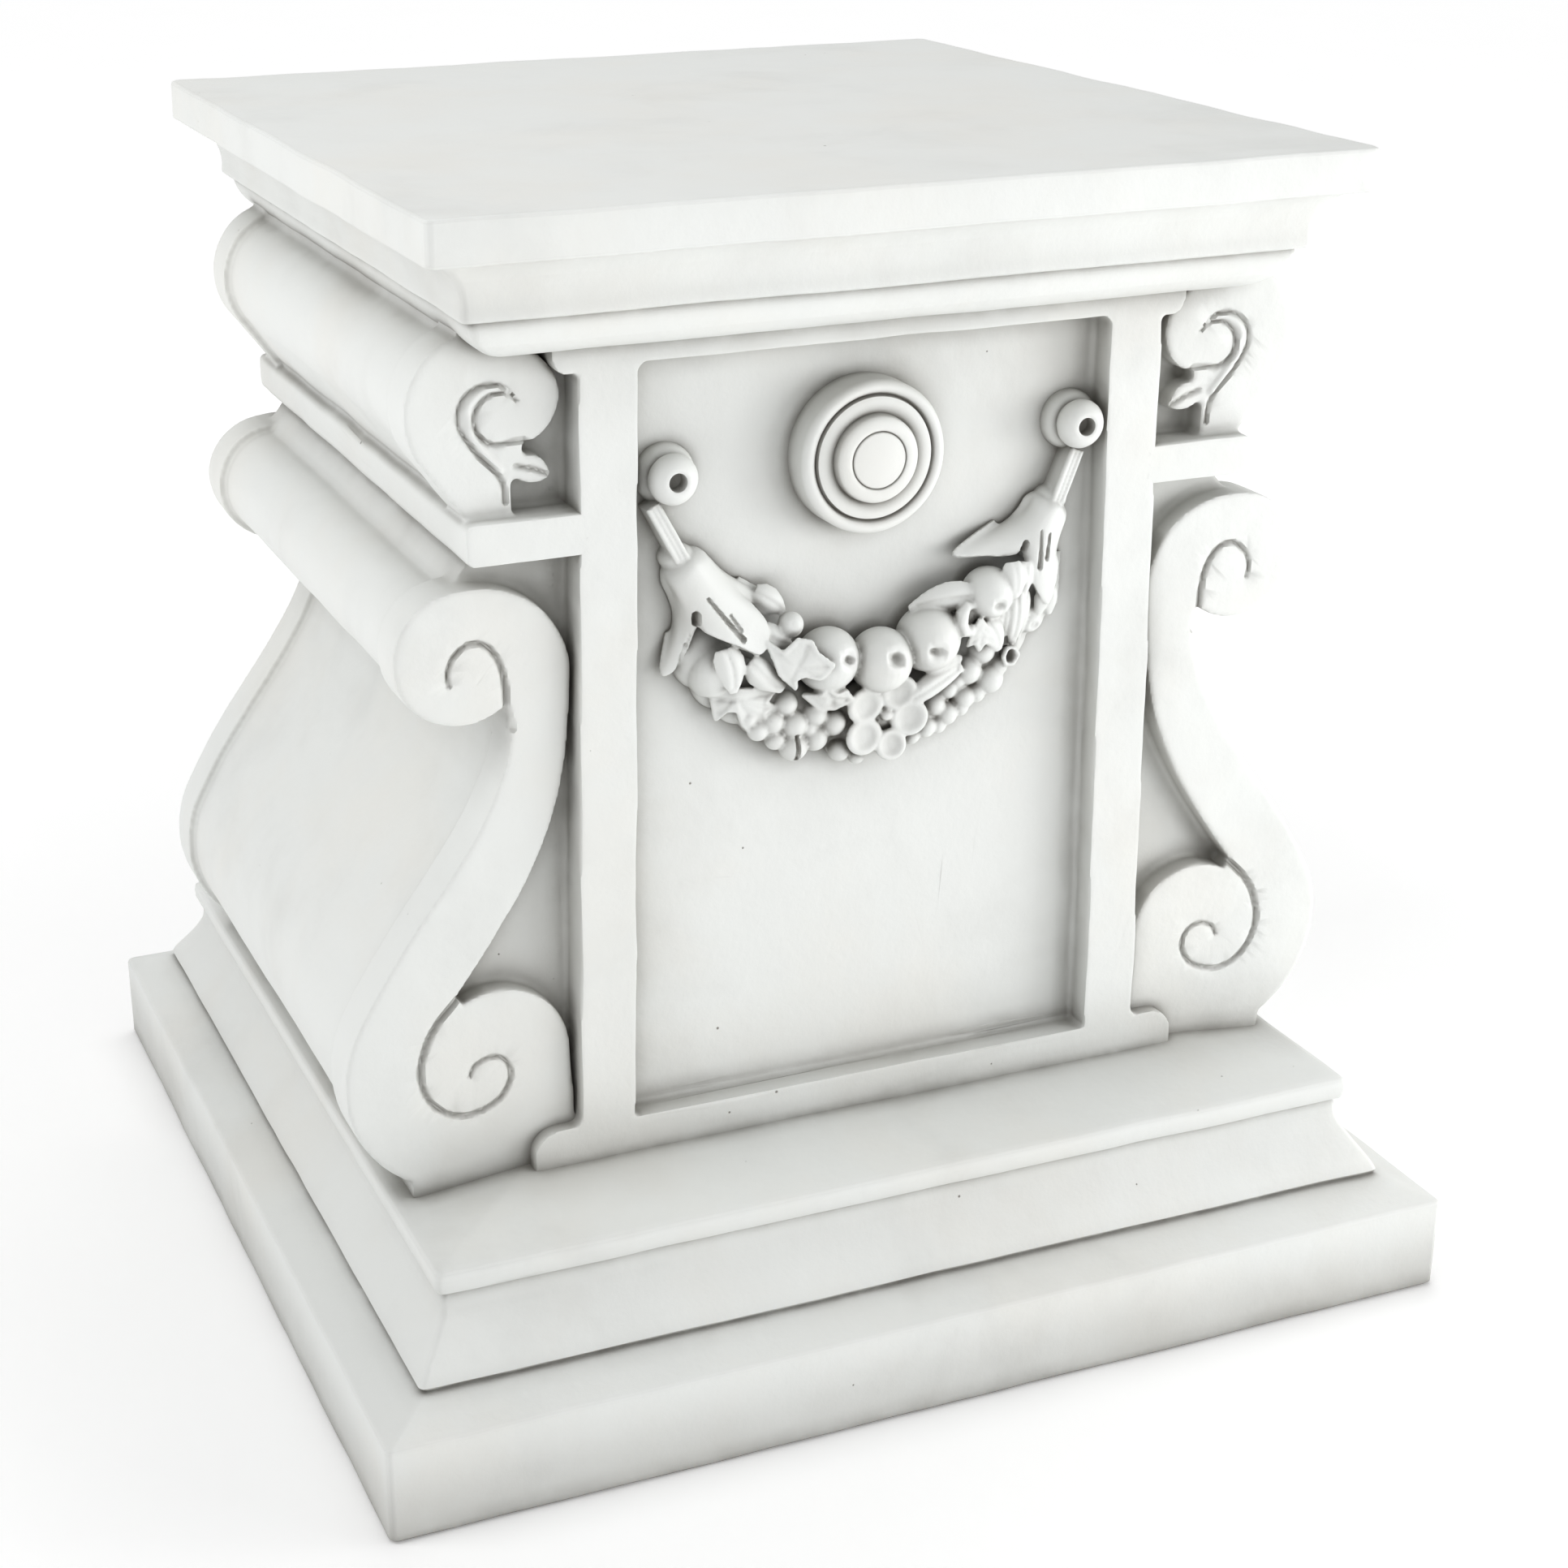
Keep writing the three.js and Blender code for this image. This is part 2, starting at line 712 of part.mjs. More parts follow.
/** Fluted strap that hangs a bell from its peg. */
function strap(top, foot, width, lift) {
  const along = new THREE.Vector2(foot[0] - top[0], foot[1] - top[1]);
  const across = new THREE.Vector2(-along.y, along.x).normalize();
  const flutes = [[-1, 0], [-1, 1], [-0.5, 0.85], [0, 1], [0.5, 0.85], [1, 1], [1, 0]];
  const rings = [0, 1].map((t) => flutes.map(([side, high]) => place(
    top[0] + along.x * t + (across.x * side * width) / 2,
    top[1] + along.y * t + (across.y * side * width) / 2,
    high > 0 ? lift * high : -3,
  )));
  return solid(loft(rings));
}

/** Five-petalled flower with a round middle. */
function flower(u, v, lift, spread, petal) {
  const parts = [berry(u, v, lift + 1, 2.6)];
  for (let i = 0; i < 5; i += 1) {
    const angle = (2 * Math.PI * i) / 5 + 0.95;
    const [du, dv] = [spread * Math.cos(angle), spread * Math.sin(angle)];
    parts.push(berry(u + du, v + dv, lift, petal, petal / 2));
  }
  return parts;
}

function leftBell() {
  return [
    strap([-79, -9], [-67, -29], 6.5, 11),
    bell([-67.5, -28.5], [-56, -51], 11.5, 25, 12),
    blade([-58, -43], [-44, -62], 19, 4, { lift: 9, tipLift: 9, full: 0.36 }),
    blade([-66, -42], [-73.5, -68], 14, 4, { lift: 3, tipLift: 1, full: 0.3, bend: -2 }),
    blade([-56, -38], [-32, -50], 12, 3, { lift: 3, tipLift: 2, full: 0.36, bend: -2 }),
  ];
}

function rightBell() {
  return [
    strap([72.5, -6], [67.5, -24], 6.5, 11),
    bell([66.5, -21], [57, -42], 12, 24, 12),
    blade([62, -36], [62.5, -59], 16, 4, { lift: 9, tipLift: 8, full: 0.36 }),
    blade([60, -33], [29.5, -37.5], 13, 4, { lift: 5, tipLift: 3, full: 0.3, bend: 2 }),
    blade([68, -40], [69, -63], 9, 4, { lift: 2, tipLift: 2, full: 0.4 }),
  ];
}

function fruits() {
  return [
    fruit(-17.7, -68.5, 7, 10.8, 0.25, 0.1),
    fruit(0.9, -70.7, 8, 10.2, -0.15, 0.35),
    fruit(17.5, -66, 7, 10.5, -0.3, -0.05),
    fruit(40.6, -52, 7, 9.2, -0.25, -0.35),
    berry(-58, -68.7, 6, 8),
    berry(-31.8, -55, 6, 4.4),
    berry(60, -60, 2, 7),
  ];
}

/** Small round grapes, in rows that follow the underside of the festoon. */
function grapes() {
  const parts = [];
  const left = [[-32.5, -82], [-28, -89.8], [-20.8, -88], [-13.3, -91.8], [-35.4, -88.7],
    [-28.6, -97], [-20, -97]];
  const right = [[25, -90], [28, -95], [21.3, -98], [35.1, -90.5], [41, -73.4]];
  left.forEach(([u, v]) => parts.push(berry(u, v, 5.5, 4)));
  right.forEach(([u, v]) => parts.push(berry(u, v, 4, 3.4)));
  [[36.9, -80], [43.6, -85]].forEach(([u, v]) => parts.push(berry(u, v, 5, 4.4)));
  return parts;
}

function leaves() {
  return [
    blade([-56, -76], [-45, -93], 14, 3, { lift: 7, tipLift: 5, full: 0.42 }),
    blade([-55, -76], [-61, -88], 9, 3, { lift: 6, tipLift: 3, full: 0.5 }),
    blade([-52, -76], [-37, -81], 11, 3, { lift: 7, tipLift: 4, full: 0.5 }),
    blade([-53, -64], [-36, -77], 10, 3, { lift: 9, tipLift: 8 }),
    blade([-38, -68], [-19, -66], 15, 3, { lift: 13, tipLift: 14 }),
    blade([29, -52], [12.5, -55.5], 9, 3, { lift: 8, tipLift: 6, bend: -2 }),
    blade([28, -52], [27, -64], 7, 4, { lift: 12, tipLift: 11 }),
    blade([36, -60], [38, -70], 6, 3, { lift: 8, tipLift: 7 }),
    blade([46, -50], [52, -69], 8, 3, { lift: 8, tipLift: 5 }),
    blade([53, -46], [57, -72], 7, 3, { lift: 6, tipLift: 4 }),
    blade([11, -83], [31.5, -75], 8, 3, { lift: 10, tipLift: 9 }),
  ];
}

const courses = [
  moulding(plinthWidth, plinthDepth, plinthCorner, basePath()),
  moulding(slabWidth, slabDepth, slabCorner, cornicePath()),
  box(blockWidth, 2 * fieldFace, lipTop - 1, soffit),
  box(2 * (blockSide - stileFlare) - stileWidth, 2 * panelFace, lipTop - 1, blockTop),
];
const frame = [
  solid(upright(frameShape(), -frameFace, frameFace, 4)),
  ...bothSides(upright(armShape(), -frameFace, frameFace, 2)),
];
const consoles = [
  ...consoleBody(),
  ...fourWays(upright(lowerFace(), -scrollFace, -scrollFace + rimWidth)),
  ...fourWays(upright(upperFace(), -scrollFace, -scrollFace + rimWidth)),
];
const carved = [
  ...fourWays(voluteGroove()),
  ...fourWays(curlGroove()),
  ...stemGrooves().flatMap((line) => bothSides(line)),
];
const ornament = [
  roundel(),
  peg(swagShift - pegSpacing / 2, leftPegDrop),
  peg(swagShift + pegSpacing / 2, rightPegDrop),
  ...leftBell(),
  ...rightBell(),
  ...fruits(),
  ...grapes(),
  ...flower(0.8, -88.9, 9, 7.6, 5.6),
  ...leaves(),
];

const scrolls = join(consoles).subtract(join(carved));
const whole = join([...courses, ...frame, scrolls, ...ornament]);
const cast = whole.getMesh();

const geometry = new THREE.BufferGeometry();
geometry.setAttribute('position', new THREE.BufferAttribute(cast.vertProperties, 3));
geometry.setIndex(new THREE.BufferAttribute(cast.triVerts, 1));
geometry.computeVertexNormals();

const pedestal = new THREE.Mesh(geometry, stone);
pedestal.name = 'pedestal';

const group = new THREE.Group();
group.add(pedestal);

export default group;
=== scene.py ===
"""A square cast pedestal with scrolled consoles, a framed panel and a festoon of fruit.

Pieces are modelled in millimetres and turned into metres when they are finished.
"""

import logging
from dataclasses import dataclass
from enum import Enum
from math import cos, hypot, pi, radians, sin
from typing import Callable, Sequence

import bpy
import numpy as np
from mathutils import Matrix, Vector

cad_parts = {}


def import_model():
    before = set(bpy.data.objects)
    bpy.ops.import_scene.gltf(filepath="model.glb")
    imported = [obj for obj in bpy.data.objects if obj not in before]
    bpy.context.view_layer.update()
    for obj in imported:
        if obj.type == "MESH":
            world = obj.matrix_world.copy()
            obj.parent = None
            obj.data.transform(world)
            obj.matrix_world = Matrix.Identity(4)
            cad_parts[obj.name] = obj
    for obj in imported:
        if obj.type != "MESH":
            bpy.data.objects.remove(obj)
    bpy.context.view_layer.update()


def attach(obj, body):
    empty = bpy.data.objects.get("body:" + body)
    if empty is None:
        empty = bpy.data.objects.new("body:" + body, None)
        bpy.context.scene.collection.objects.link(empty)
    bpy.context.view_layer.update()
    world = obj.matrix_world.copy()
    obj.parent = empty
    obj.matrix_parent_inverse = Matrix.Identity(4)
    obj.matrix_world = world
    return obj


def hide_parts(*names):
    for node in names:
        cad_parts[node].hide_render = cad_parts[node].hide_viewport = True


LOG = logging.getLogger("pedestal")
METRES = 0.001  # in a millimetre
RIPPLE = 34.0  # size of the hand-cast ripples, in millimetres
SHARP = radians(38)  # edges that turn further than this stay sharp

Piece, Finish = bpy.types.Object, bpy.types.Material
Point = tuple[float, float]
Place = tuple[float, float, float]
Line = Sequence[Point]
Array = np.ndarray
Sheet = tuple[Array, Array, Array]
Form = Callable[[Array, Array], Sheet]


class Level(float, Enum):
    """Heights that several pieces share, in millimetres."""

    SUNK = 70.0  # inside the base moulding, where what stands on it ends
    BLOCK_FOOT = 81.5
    ARM_FOOT = 294.1
    ARM_TOP = 307.7
    BLOCK_TOP = 359.0
    SOFFIT = 371.0


class Face(float, Enum):
    """Distances of the upright faces from the middle, along y, in millimetres."""

    FRAME = 127.0
    SCROLL = 122.0
    PANEL = 116.5
    FIELD = 113.0
    RIM = 104.0


def arc(x: float, z: float, radius: float, start: float, end: float, steps: int) -> list[Point]:
    """Points round an arc; the angles are in half turns.

    Args:
        x: centre, to the right.
        z: centre, upwards.
        radius: radius of the arc.
        start: first angle, in half turns.
        end: last angle, in half turns.
        steps: how many chords it has.

    Returns:
        The points from start to end.
    """
    turns = [pi * (start + (end - start) * i / steps) for i in range(steps + 1)]
    return [(x + radius * cos(a), z + radius * sin(a)) for a in turns]


def bezier(a: Point, b: Point, c: Point, d: Point, steps: int) -> list[Point]:
    """Points along a cubic curve from a to d.

    Args:
        a: first point.
        b: first handle.
        c: second handle.
        d: last point.
        steps: how many chords it has.

    Returns:
        The points from a to d.
    """
    points = []
    for i in range(steps + 1):
        t = i / steps
        weights = ((1 - t) ** 3, 3 * t * (1 - t) ** 2, 3 * t * t * (1 - t), t ** 3)
        points.append(tuple(sum(w * p[k] for w, p in zip(weights, (a, b, c, d))) for k in (0, 1)))
    return points


def flowing(keys: Sequence[Sequence[float]], places: Array) -> Array:
    """Smooth values through keys.

    Args:
        keys: rows of a place and the values there.
        places: where the values are wanted.

    Returns:
        One row of values for each place.
    """
    table = np.array(keys)
    at, values = table[:, 0], table[:, 1:]
    slopes = np.gradient(values, at, axis=0)
    i = np.clip(np.searchsorted(at, places, "right") - 1, 0, len(at) - 2)
    width = (at[i + 1] - at[i])[..., None]
    u = (places - at[i])[..., None] / width
    return (values[i] * (1 + 2 * u) * (1 - u) ** 2 + slopes[i] * width * u * (1 - u) ** 2
            + values[i + 1] * u * u * (3 - 2 * u) + slopes[i + 1] * width * u * u * (u - 1))


def through(points: Line, steps: int = 8) -> list[Point]:
    """A smooth line through points, with so many chords from each to the next."""
    keys = [(i, *point) for i, point in enumerate(points)]
    spots = np.linspace(0, len(points) - 1, steps * (len(points) - 1) + 1)
    return [tuple(row) for row in flowing(keys, spots)]


def distance_to(path: Line, points: Array) -> tuple[Array, Array]:
    """How far each point lies from a broken line, and how far along the line that is.

    Args:
        path: corners of the line.
        points: an array of points, one row each.

    Returns:
        One distance and one share of the line for each point.
    """
    nearest, place = np.full(len(points), 1e9), np.zeros(len(points))
    for i, (start, end) in enumerate(zip(path[:-1], path[1:])):
        a, along = np.array(start), np.array(end) - np.array(start)
        share = np.clip(((points - a) @ along) / max(along @ along, 1e-9), 0, 1)
        gap = np.sqrt(((points - (a + share[:, None] * along)) ** 2).sum(1))
        closer = gap < nearest
        nearest[closer] = gap[closer]
        place[closer] = (i + share[closer]) / (len(path) - 1)
    return nearest, place


class Bench:
    """Hand operations on Blender meshes."""

    @staticmethod
    def clear() -> None:
        """Leaves nothing selected."""
        if bpy.context.object and bpy.context.object.mode != "OBJECT":
            bpy.ops.object.mode_set(mode="OBJECT")
        bpy.ops.object.select_all(action="DESELECT")

    @classmethod
    def take(cls, *pieces: Piece) -> None:
        """Selects pieces and makes the first one active."""
        cls.clear()
        for piece in pieces:
            piece.select_set(True)
        bpy.context.view_layer.objects.active = pieces[0]

    @staticmethod
    def read(piece: Piece) -> Array:
        """The places of a mesh's vertices, one row each."""
        places = np.empty(len(piece.data.vertices) * 3)
        piece.data.vertices.foreach_get("co", places)
        return places.reshape(-1, 3)

    @staticmethod
    def write(piece: Piece, places: Array) -> None:
        """Puts a mesh's vertices at new places."""
        piece.data.vertices.foreach_set("co", places.ravel())
        piece.data.update()

    @classmethod
    def modify(cls, piece: Piece, kind: str, **settings: object) -> None:
        """Adds one modifier and applies it.

        Args:
            piece: the mesh to change.
            kind: the modifier's type.
            settings: its properties.
        """
        cls.take(piece)
        modifier = piece.modifiers.new(kind.lower(), kind)
        for name, value in settings.items():
            setattr(modifier, name, value)
        bpy.ops.object.modifier_apply(modifier=modifier.name)

    @classmethod
    def settle(cls, piece: Piece) -> Piece:
        """Puts a piece's place into its mesh, closes its seams and turns its faces out."""
        cls.take(piece)
        bpy.ops.object.transform_apply(location=True, rotation=True, scale=True)
        bpy.ops.object.mode_set(mode="EDIT")
        bpy.ops.mesh.select_all(action="SELECT")
        bpy.ops.mesh.remove_doubles(threshold=0.001)
        bpy.ops.mesh.normals_make_consistent(inside=False)
        bpy.ops.object.mode_set(mode="OBJECT")
        return piece

    @classmethod
    def plate(cls, outlines: Sequence[Line], low: float, high: float) -> Piece:
        """Cuts a flat plate to an outline drawn in x and z.

        Args:
            outlines: the outer edge and any holes.
            low: its face towards the front, along y.
            high: its face towards the back.

        Returns:
            The plate as a closed mesh.
        """
        curve = bpy.data.curves.new("plate", "CURVE")
        curve.dimensions, curve.fill_mode, curve.extrude = "2D", "BOTH", (high - low) / 2
        for outline in outlines:
            cls._spline(curve, [(x, z, 0) for x, z in outline]).use_cyclic_u = True
        return cls._made(curve, (pi / 2, 0, 0), (0, (low + high) / 2, 0))

    @classmethod
    def tube(cls, points: Sequence[Place], radii: Sequence[float]) -> Piece:
        """Rolls a round rod along points.

        Args:
            points: the places it passes, in x, y and z.
            radii: its radius at each place.

        Returns:
            The rod as a closed mesh.
        """
        curve = bpy.data.curves.new("rod", "CURVE")
        curve.dimensions, curve.bevel_depth, curve.bevel_resolution = "3D", 1.0, 3
        curve.use_fill_caps = True
        for point, radius in zip(cls._spline(curve, points).points, radii):
            point.radius = radius
        return cls._made(curve, (0, 0, 0), (0, 0, 0))

    @staticmethod
    def _spline(curve: bpy.types.Curve, places: Sequence[Place]) -> bpy.types.Spline:
        """Adds a line through places to a curve."""
        spline = curve.splines.new("POLY")
        spline.points.add(len(places) - 1)
        for point, place in zip(spline.points, places):
            point.co = (*place, 1)
        return spline

    @classmethod
    def _made(cls, curve: bpy.types.Curve, turn: Place, place: Place) -> Piece:
        """Makes a mesh of a curve at its place."""
        cls.clear()
        piece = bpy.data.objects.new("stock", curve)
        bpy.context.collection.objects.link(piece)
        piece.rotation_euler, piece.location = turn, place
        cls.take(piece)
        bpy.ops.object.convert(target="MESH")
        return cls.settle(bpy.context.object)

    @classmethod
    def ball(cls, x: float, z: float, lift: float, radii: Place) -> Piece:
        """Adds a round lump in front of the panel's floor.

        Args:
            x: its middle, to the right.
            z: its middle, upwards.
            lift: its middle, in front of the floor.
            radii: its half sizes across, outwards and up.

        Returns:
            The lump as a closed mesh.
        """
        cls.clear()
        bpy.ops.mesh.primitive_uv_sphere_add(segments=28, ring_count=18, radius=1)
        piece = bpy.context.object
        piece.scale, piece.location = radii, (x, -Face.PANEL - lift, z)
        return cls.settle(piece)

    @classmethod
    def drape(cls, form: Form, along: int, across: int, thick: float) -> Piece:
        """Bends a sheet with some thickness to a form over the panel's floor.

        Args:
            form: gives x, z and lift for shares of length and of half width.
            along: divisions of its length.
            across: divisions of its width.
            thick: its thickness.

        Returns:
            The sheet as a closed mesh.
        """
        cls.clear()
        bpy.ops.mesh.primitive_grid_add(x_subdivisions=along, y_subdivisions=across, size=2)
        piece = bpy.context.object
        flat = cls.read(piece)
        x, z, lift = form((flat[:, 0] + 1) / 2, flat[:, 1])
        cls.write(piece, np.stack([x, -Face.PANEL - lift, z], 1))
        cls.modify(piece, "SOLIDIFY", thickness=thick, offset=0.0)
        return cls.settle(piece)

    @classmethod
    def raised(cls, half: Point, profile: Line) -> None:
        """Draws the selected flat face up through a profile, by extruding and scaling it.

        Args:
            half: half sizes of the face in x and y.
            profile: setback from that size against height, from the face's own.
        """
        back, height = profile[0]
        for setback, level in profile[1:]:
            lifted = {"value": (0, 0, level - height)}
            bpy.ops.mesh.extrude_region_move(TRANSFORM_OT_translate=lifted)
            ratio = [max(h - setback, 0.02) / max(h - back, 0.02) for h in half]
            bpy.ops.transform.resize(value=(*ratio, 1), center_override=(0, 0, level))
            back, height = setback, level

    @classmethod
    def fuse(cls, pieces: Sequence[Piece], grain: float, soften: int) -> Piece:
        """Melts overlapping pieces into one skin with softened edges.

        Args:
            pieces: the pieces to join.
            grain: spacing of the skin's vertices.
            soften: rounds of smoothing.

        Returns:
            The one piece.
        """
        cls.take(*pieces)
        bpy.ops.object.join()
        piece = bpy.context.object
        cls.modify(piece, "REMESH", mode="VOXEL", voxel_size=grain)
        cls.modify(piece, "SMOOTH", factor=0.5, iterations=soften)
        return piece

    @classmethod
    def relief(cls, piece: Piece, path: Line, half: Point, depth: float,
               behind: float, sides: Sequence[int] = (-1, 1)) -> None:
        """Pushes a line into the upright faces, or draws it out where depth is negative.

        Args:
            piece: the mesh to carve.
            path: the line in x and z.
            half: half the line's width at its start and its end.
            depth: how deep its middle goes.
            behind: only what lies further out than this is carved.
            sides: -1 for the front and 1 for the back.
        """
        places = cls.read(piece)
        for side in sides:
            rows = np.nonzero(places[:, 1] * side > behind)[0]
            gap, place = distance_to(path, places[rows][:, [0, 2]])
            width = half[0] + (half[1] - half[0]) * place
            hollow = np.clip(1 - (gap / width) ** 2, 0, 1)
            places[rows, 1] -= side * depth * hollow * width / max(half)
        cls.write(piece, places)

    @classmethod
    def respan(cls, piece: Piece, reach: float, cuts: int) -> None:
        """Replaces the plain middle of a piece by long, even faces.

        Args:
            piece: a closed mesh whose section stays the same all along its middle.
            reach: half the length of that middle, along y.
            cuts: divisions along it.
        """
        cls.take(piece)
        for polygon in piece.data.polygons:
            polygon.select = abs(polygon.center.y) < reach
        bpy.context.tool_settings.mesh_select_mode = (False, False, True)
        bpy.ops.object.mode_set(mode="EDIT")
        bpy.ops.mesh.delete(type="FACE")
        bpy.ops.mesh.select_mode(type="EDGE")
        bpy.ops.mesh.select_all(action="DESELECT")
        bpy.ops.mesh.select_non_manifold()
        bpy.ops.mesh.bridge_edge_loops(number_cuts=cuts)
        bpy.ops.object.mode_set(mode="OBJECT")

    @classmethod
    def thin(cls, piece: Piece, faces: int) -> None:
        """Takes out triangles where the surface is flat, down to a number of faces."""
        cls.modify(piece, "TRIANGULATE")
        count = len(piece.data.polygons)
        if count > faces:
            cls.modify(piece, "DECIMATE", decimate_type="COLLAPSE", ratio=faces / count)

    @classmethod
    def finish(cls, piece: Piece, name: str, material: Finish,
               wobble: float, stands_for: str | None = None, flats: bool = False) -> Piece:
        """Gives a piece its hand-cast unevenness, true size, name and finish.

        Args:
            piece: the modelled mesh, in millimetres.
            name: its name.
            material: its finish.
            wobble: how far its surface wanders.
            stands_for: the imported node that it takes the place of.
            flats: True where broad faces are to look flat right up to a narrow edge.

        Returns:
            The piece, riding on the one body.
        """
        title = "hand_wobble"
        texture = bpy.data.textures.get(title) or bpy.data.textures.new(title, "CLOUDS")
        texture.noise_scale, texture.cloud_type = RIPPLE, "COLOR"
        cls.modify(piece, "DISPLACE", texture=texture, texture_coords="LOCAL",
                   direction="RGB_TO_XYZ", strength=wobble, mid_level=0.5)
        cls.take(piece)
        piece.scale = (METRES,) * 3
        bpy.ops.object.transform_apply(location=True, rotation=True, scale=True)
        bpy.ops.object.shade_smooth_by_angle(angle=SHARP)
        if flats:
            cls.modify(piece, "WEIGHTED_NORMAL", weight=60, keep_sharp=True)
        piece.name = name
        piece.data.materials.clear()
        piece.data.materials.append(material)
        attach(piece, "root")
        if stands_for:
            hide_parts(stands_for)
        LOG.info("%s: %d faces", name, len(piece.data.polygons))
        return piece


@dataclass(frozen=True)
class Moulding:
    """A course that runs round the block with a profile of setbacks and heights."""

    name: str
    width: float
    depth: float
    corner: float
    profile: list[Point]
    stands_for: str | None = None

    def build(self, finish: Finish) -> Piece:
        """Raises the course from a plate and cuts its runs into short lengths."""
        Bench.clear()
        bpy.ops.mesh.primitive_plane_add(size=1, location=(0, 0, self.profile[0][1]))
        piece = bpy.context.object
        first = self.profile[0][0]
        half = (self.width / 2, self.depth / 2)
        piece.scale = (2 * (half[0] - first), 2 * (half[1] - first), 1)
        bpy.ops.object.transform_apply(location=True, rotation=True, scale=True)
        bpy.ops.object.mode_set(mode="EDIT")
        bpy.ops.mesh.select_all(action="SELECT")
        bpy.ops.mesh.bevel(offset=self.corner, segments=3, affect="VERTICES")
        bpy.ops.mesh.select_all(action="SELECT")
        Bench.raised(half, self.profile)
        first_cut, last_cut, spacing = 12.0, 6.0, 9.0
        for reach, normal in zip(half, ((1, 0, 0), (0, 1, 0))):
            for place in np.arange(first_cut - reach, reach - last_cut, spacing):
                bpy.ops.mesh.select_all(action="SELECT")
                bpy.ops.mesh.bisect(plane_co=tuple(place * n for n in normal), plane_no=normal)
        bpy.ops.object.mode_set(mode="OBJECT")
        Bench.settle(piece)
        return Bench.finish(piece, self.name, finish, 0.9, self.stands_for, flats=True)


@dataclass(frozen=True)
class Turned:
    """A turned ornament that stands on the front panel."""

    name: str
    x: float
    z: float
    profile: list[Point]

    def build(self, finish: Finish) -> Piece:
        """Raises the ornament from a disc and lays it against the panel."""
        Bench.clear()
        radius, foot = self.profile[0]
        bpy.ops.mesh.primitive_circle_add(vertices=96, radius=radius, fill_type="NGON",
                                          location=(0, 0, foot))
        piece = bpy.context.object
        bpy.ops.object.transform_apply(location=True, rotation=True, scale=True)
        bpy.ops.object.mode_set(mode="EDIT")
        bpy.ops.mesh.select_all(action="SELECT")
        Bench.raised((radius, radius), [(radius - r, h) for r, h in self.profile])
        bpy.ops.object.mode_set(mode="OBJECT")
        piece.rotation_euler = (pi / 2, 0, 0)
        piece.location = (self.x, -Face.PANEL, self.z)
        Bench.settle(piece)
        return Bench.finish(piece, self.name, finish, wobble=0.5, flats=True)


@dataclass(frozen=True)
class PanelFront:
    """The framed slab on the front or the back of the block."""

    name: str
    side: int
    root: float = 98.0
    stile: float = 19.3
    half_top: float = 101.4
    half_foot: float = 106.0
    panel_foot: float = 94.5
    panel_top: float = 352.5
    top_ear: float = 109.9
    bottom_ear: float = 123.0

    def half(self, z: float) -> float:
        """Half width of the frame at a height."""
        share = (z - Level.BLOCK_FOOT) / (Level.BLOCK_TOP - Level.BLOCK_FOOT)
        return self.half_foot + (self.half_top - self.half_foot) * share

    def outline(self) -> list[Point]:
        """The frame's outer edge with its ears."""
        ear_top, ear_foot = Level.BLOCK_FOOT + 14, Level.BLOCK_TOP - 8.5
        right = [
            (self.bottom_ear, Level.SUNK),
            *arc(self.bottom_ear - 9, ear_top - 9, 9, 0, 0.5, 10),
            (self.half(ear_top) + 1.5, ear_top),
            (self.half(ear_top) + 0.2, ear_top + 2),
            (self.half(ear_foot), ear_foot),
            *arc(self.top_ear - 5.5, ear_foot + 5.5, 5.5, -0.5, 0, 8),
            (self.top_ear, Level.SOFFIT),
        ]
        return right + [(-x, z) for x, z in reversed(right)]

    def opening(self) -> list[Point]:
        """The edge of the sunk panel."""
        low, high = (self.half(z) - self.stile for z in (self.panel_foot, self.panel_top))
        right = [(low, self.panel_foot), *arc(high - 3, self.panel_top - 3, 3, 0, 0.5, 6)]
        return right + [(-x, z) for x, z in reversed(right)]

    def build(self, finish: Finish) -> Piece:
        """Builds the slab out of a field, a panel floor and the frame."""
        low, high = Level.BLOCK_FOOT - 10, Level.SOFFIT
        layers = [([self.outline(), self.opening()], self.root + 1, Face.FRAME)]
        for half, face in ((96.0, Face.PANEL), (112.0, Face.FIELD)):
            edge = [(-half, low), (half, low), (half, high), (-half, high)]
            layers.insert(0, ([edge], self.root, face))
        parts = [Bench.plate(edges, *sorted((self.side * back, self.side * face)))
                 for edges, back, face in layers]
        piece = Bench.fuse(parts, grain=0.9, soften=2)
        Bench.thin(piece, 150000)
        return Bench.finish(piece, self.name, finish, wobble=1.1, flats=True)


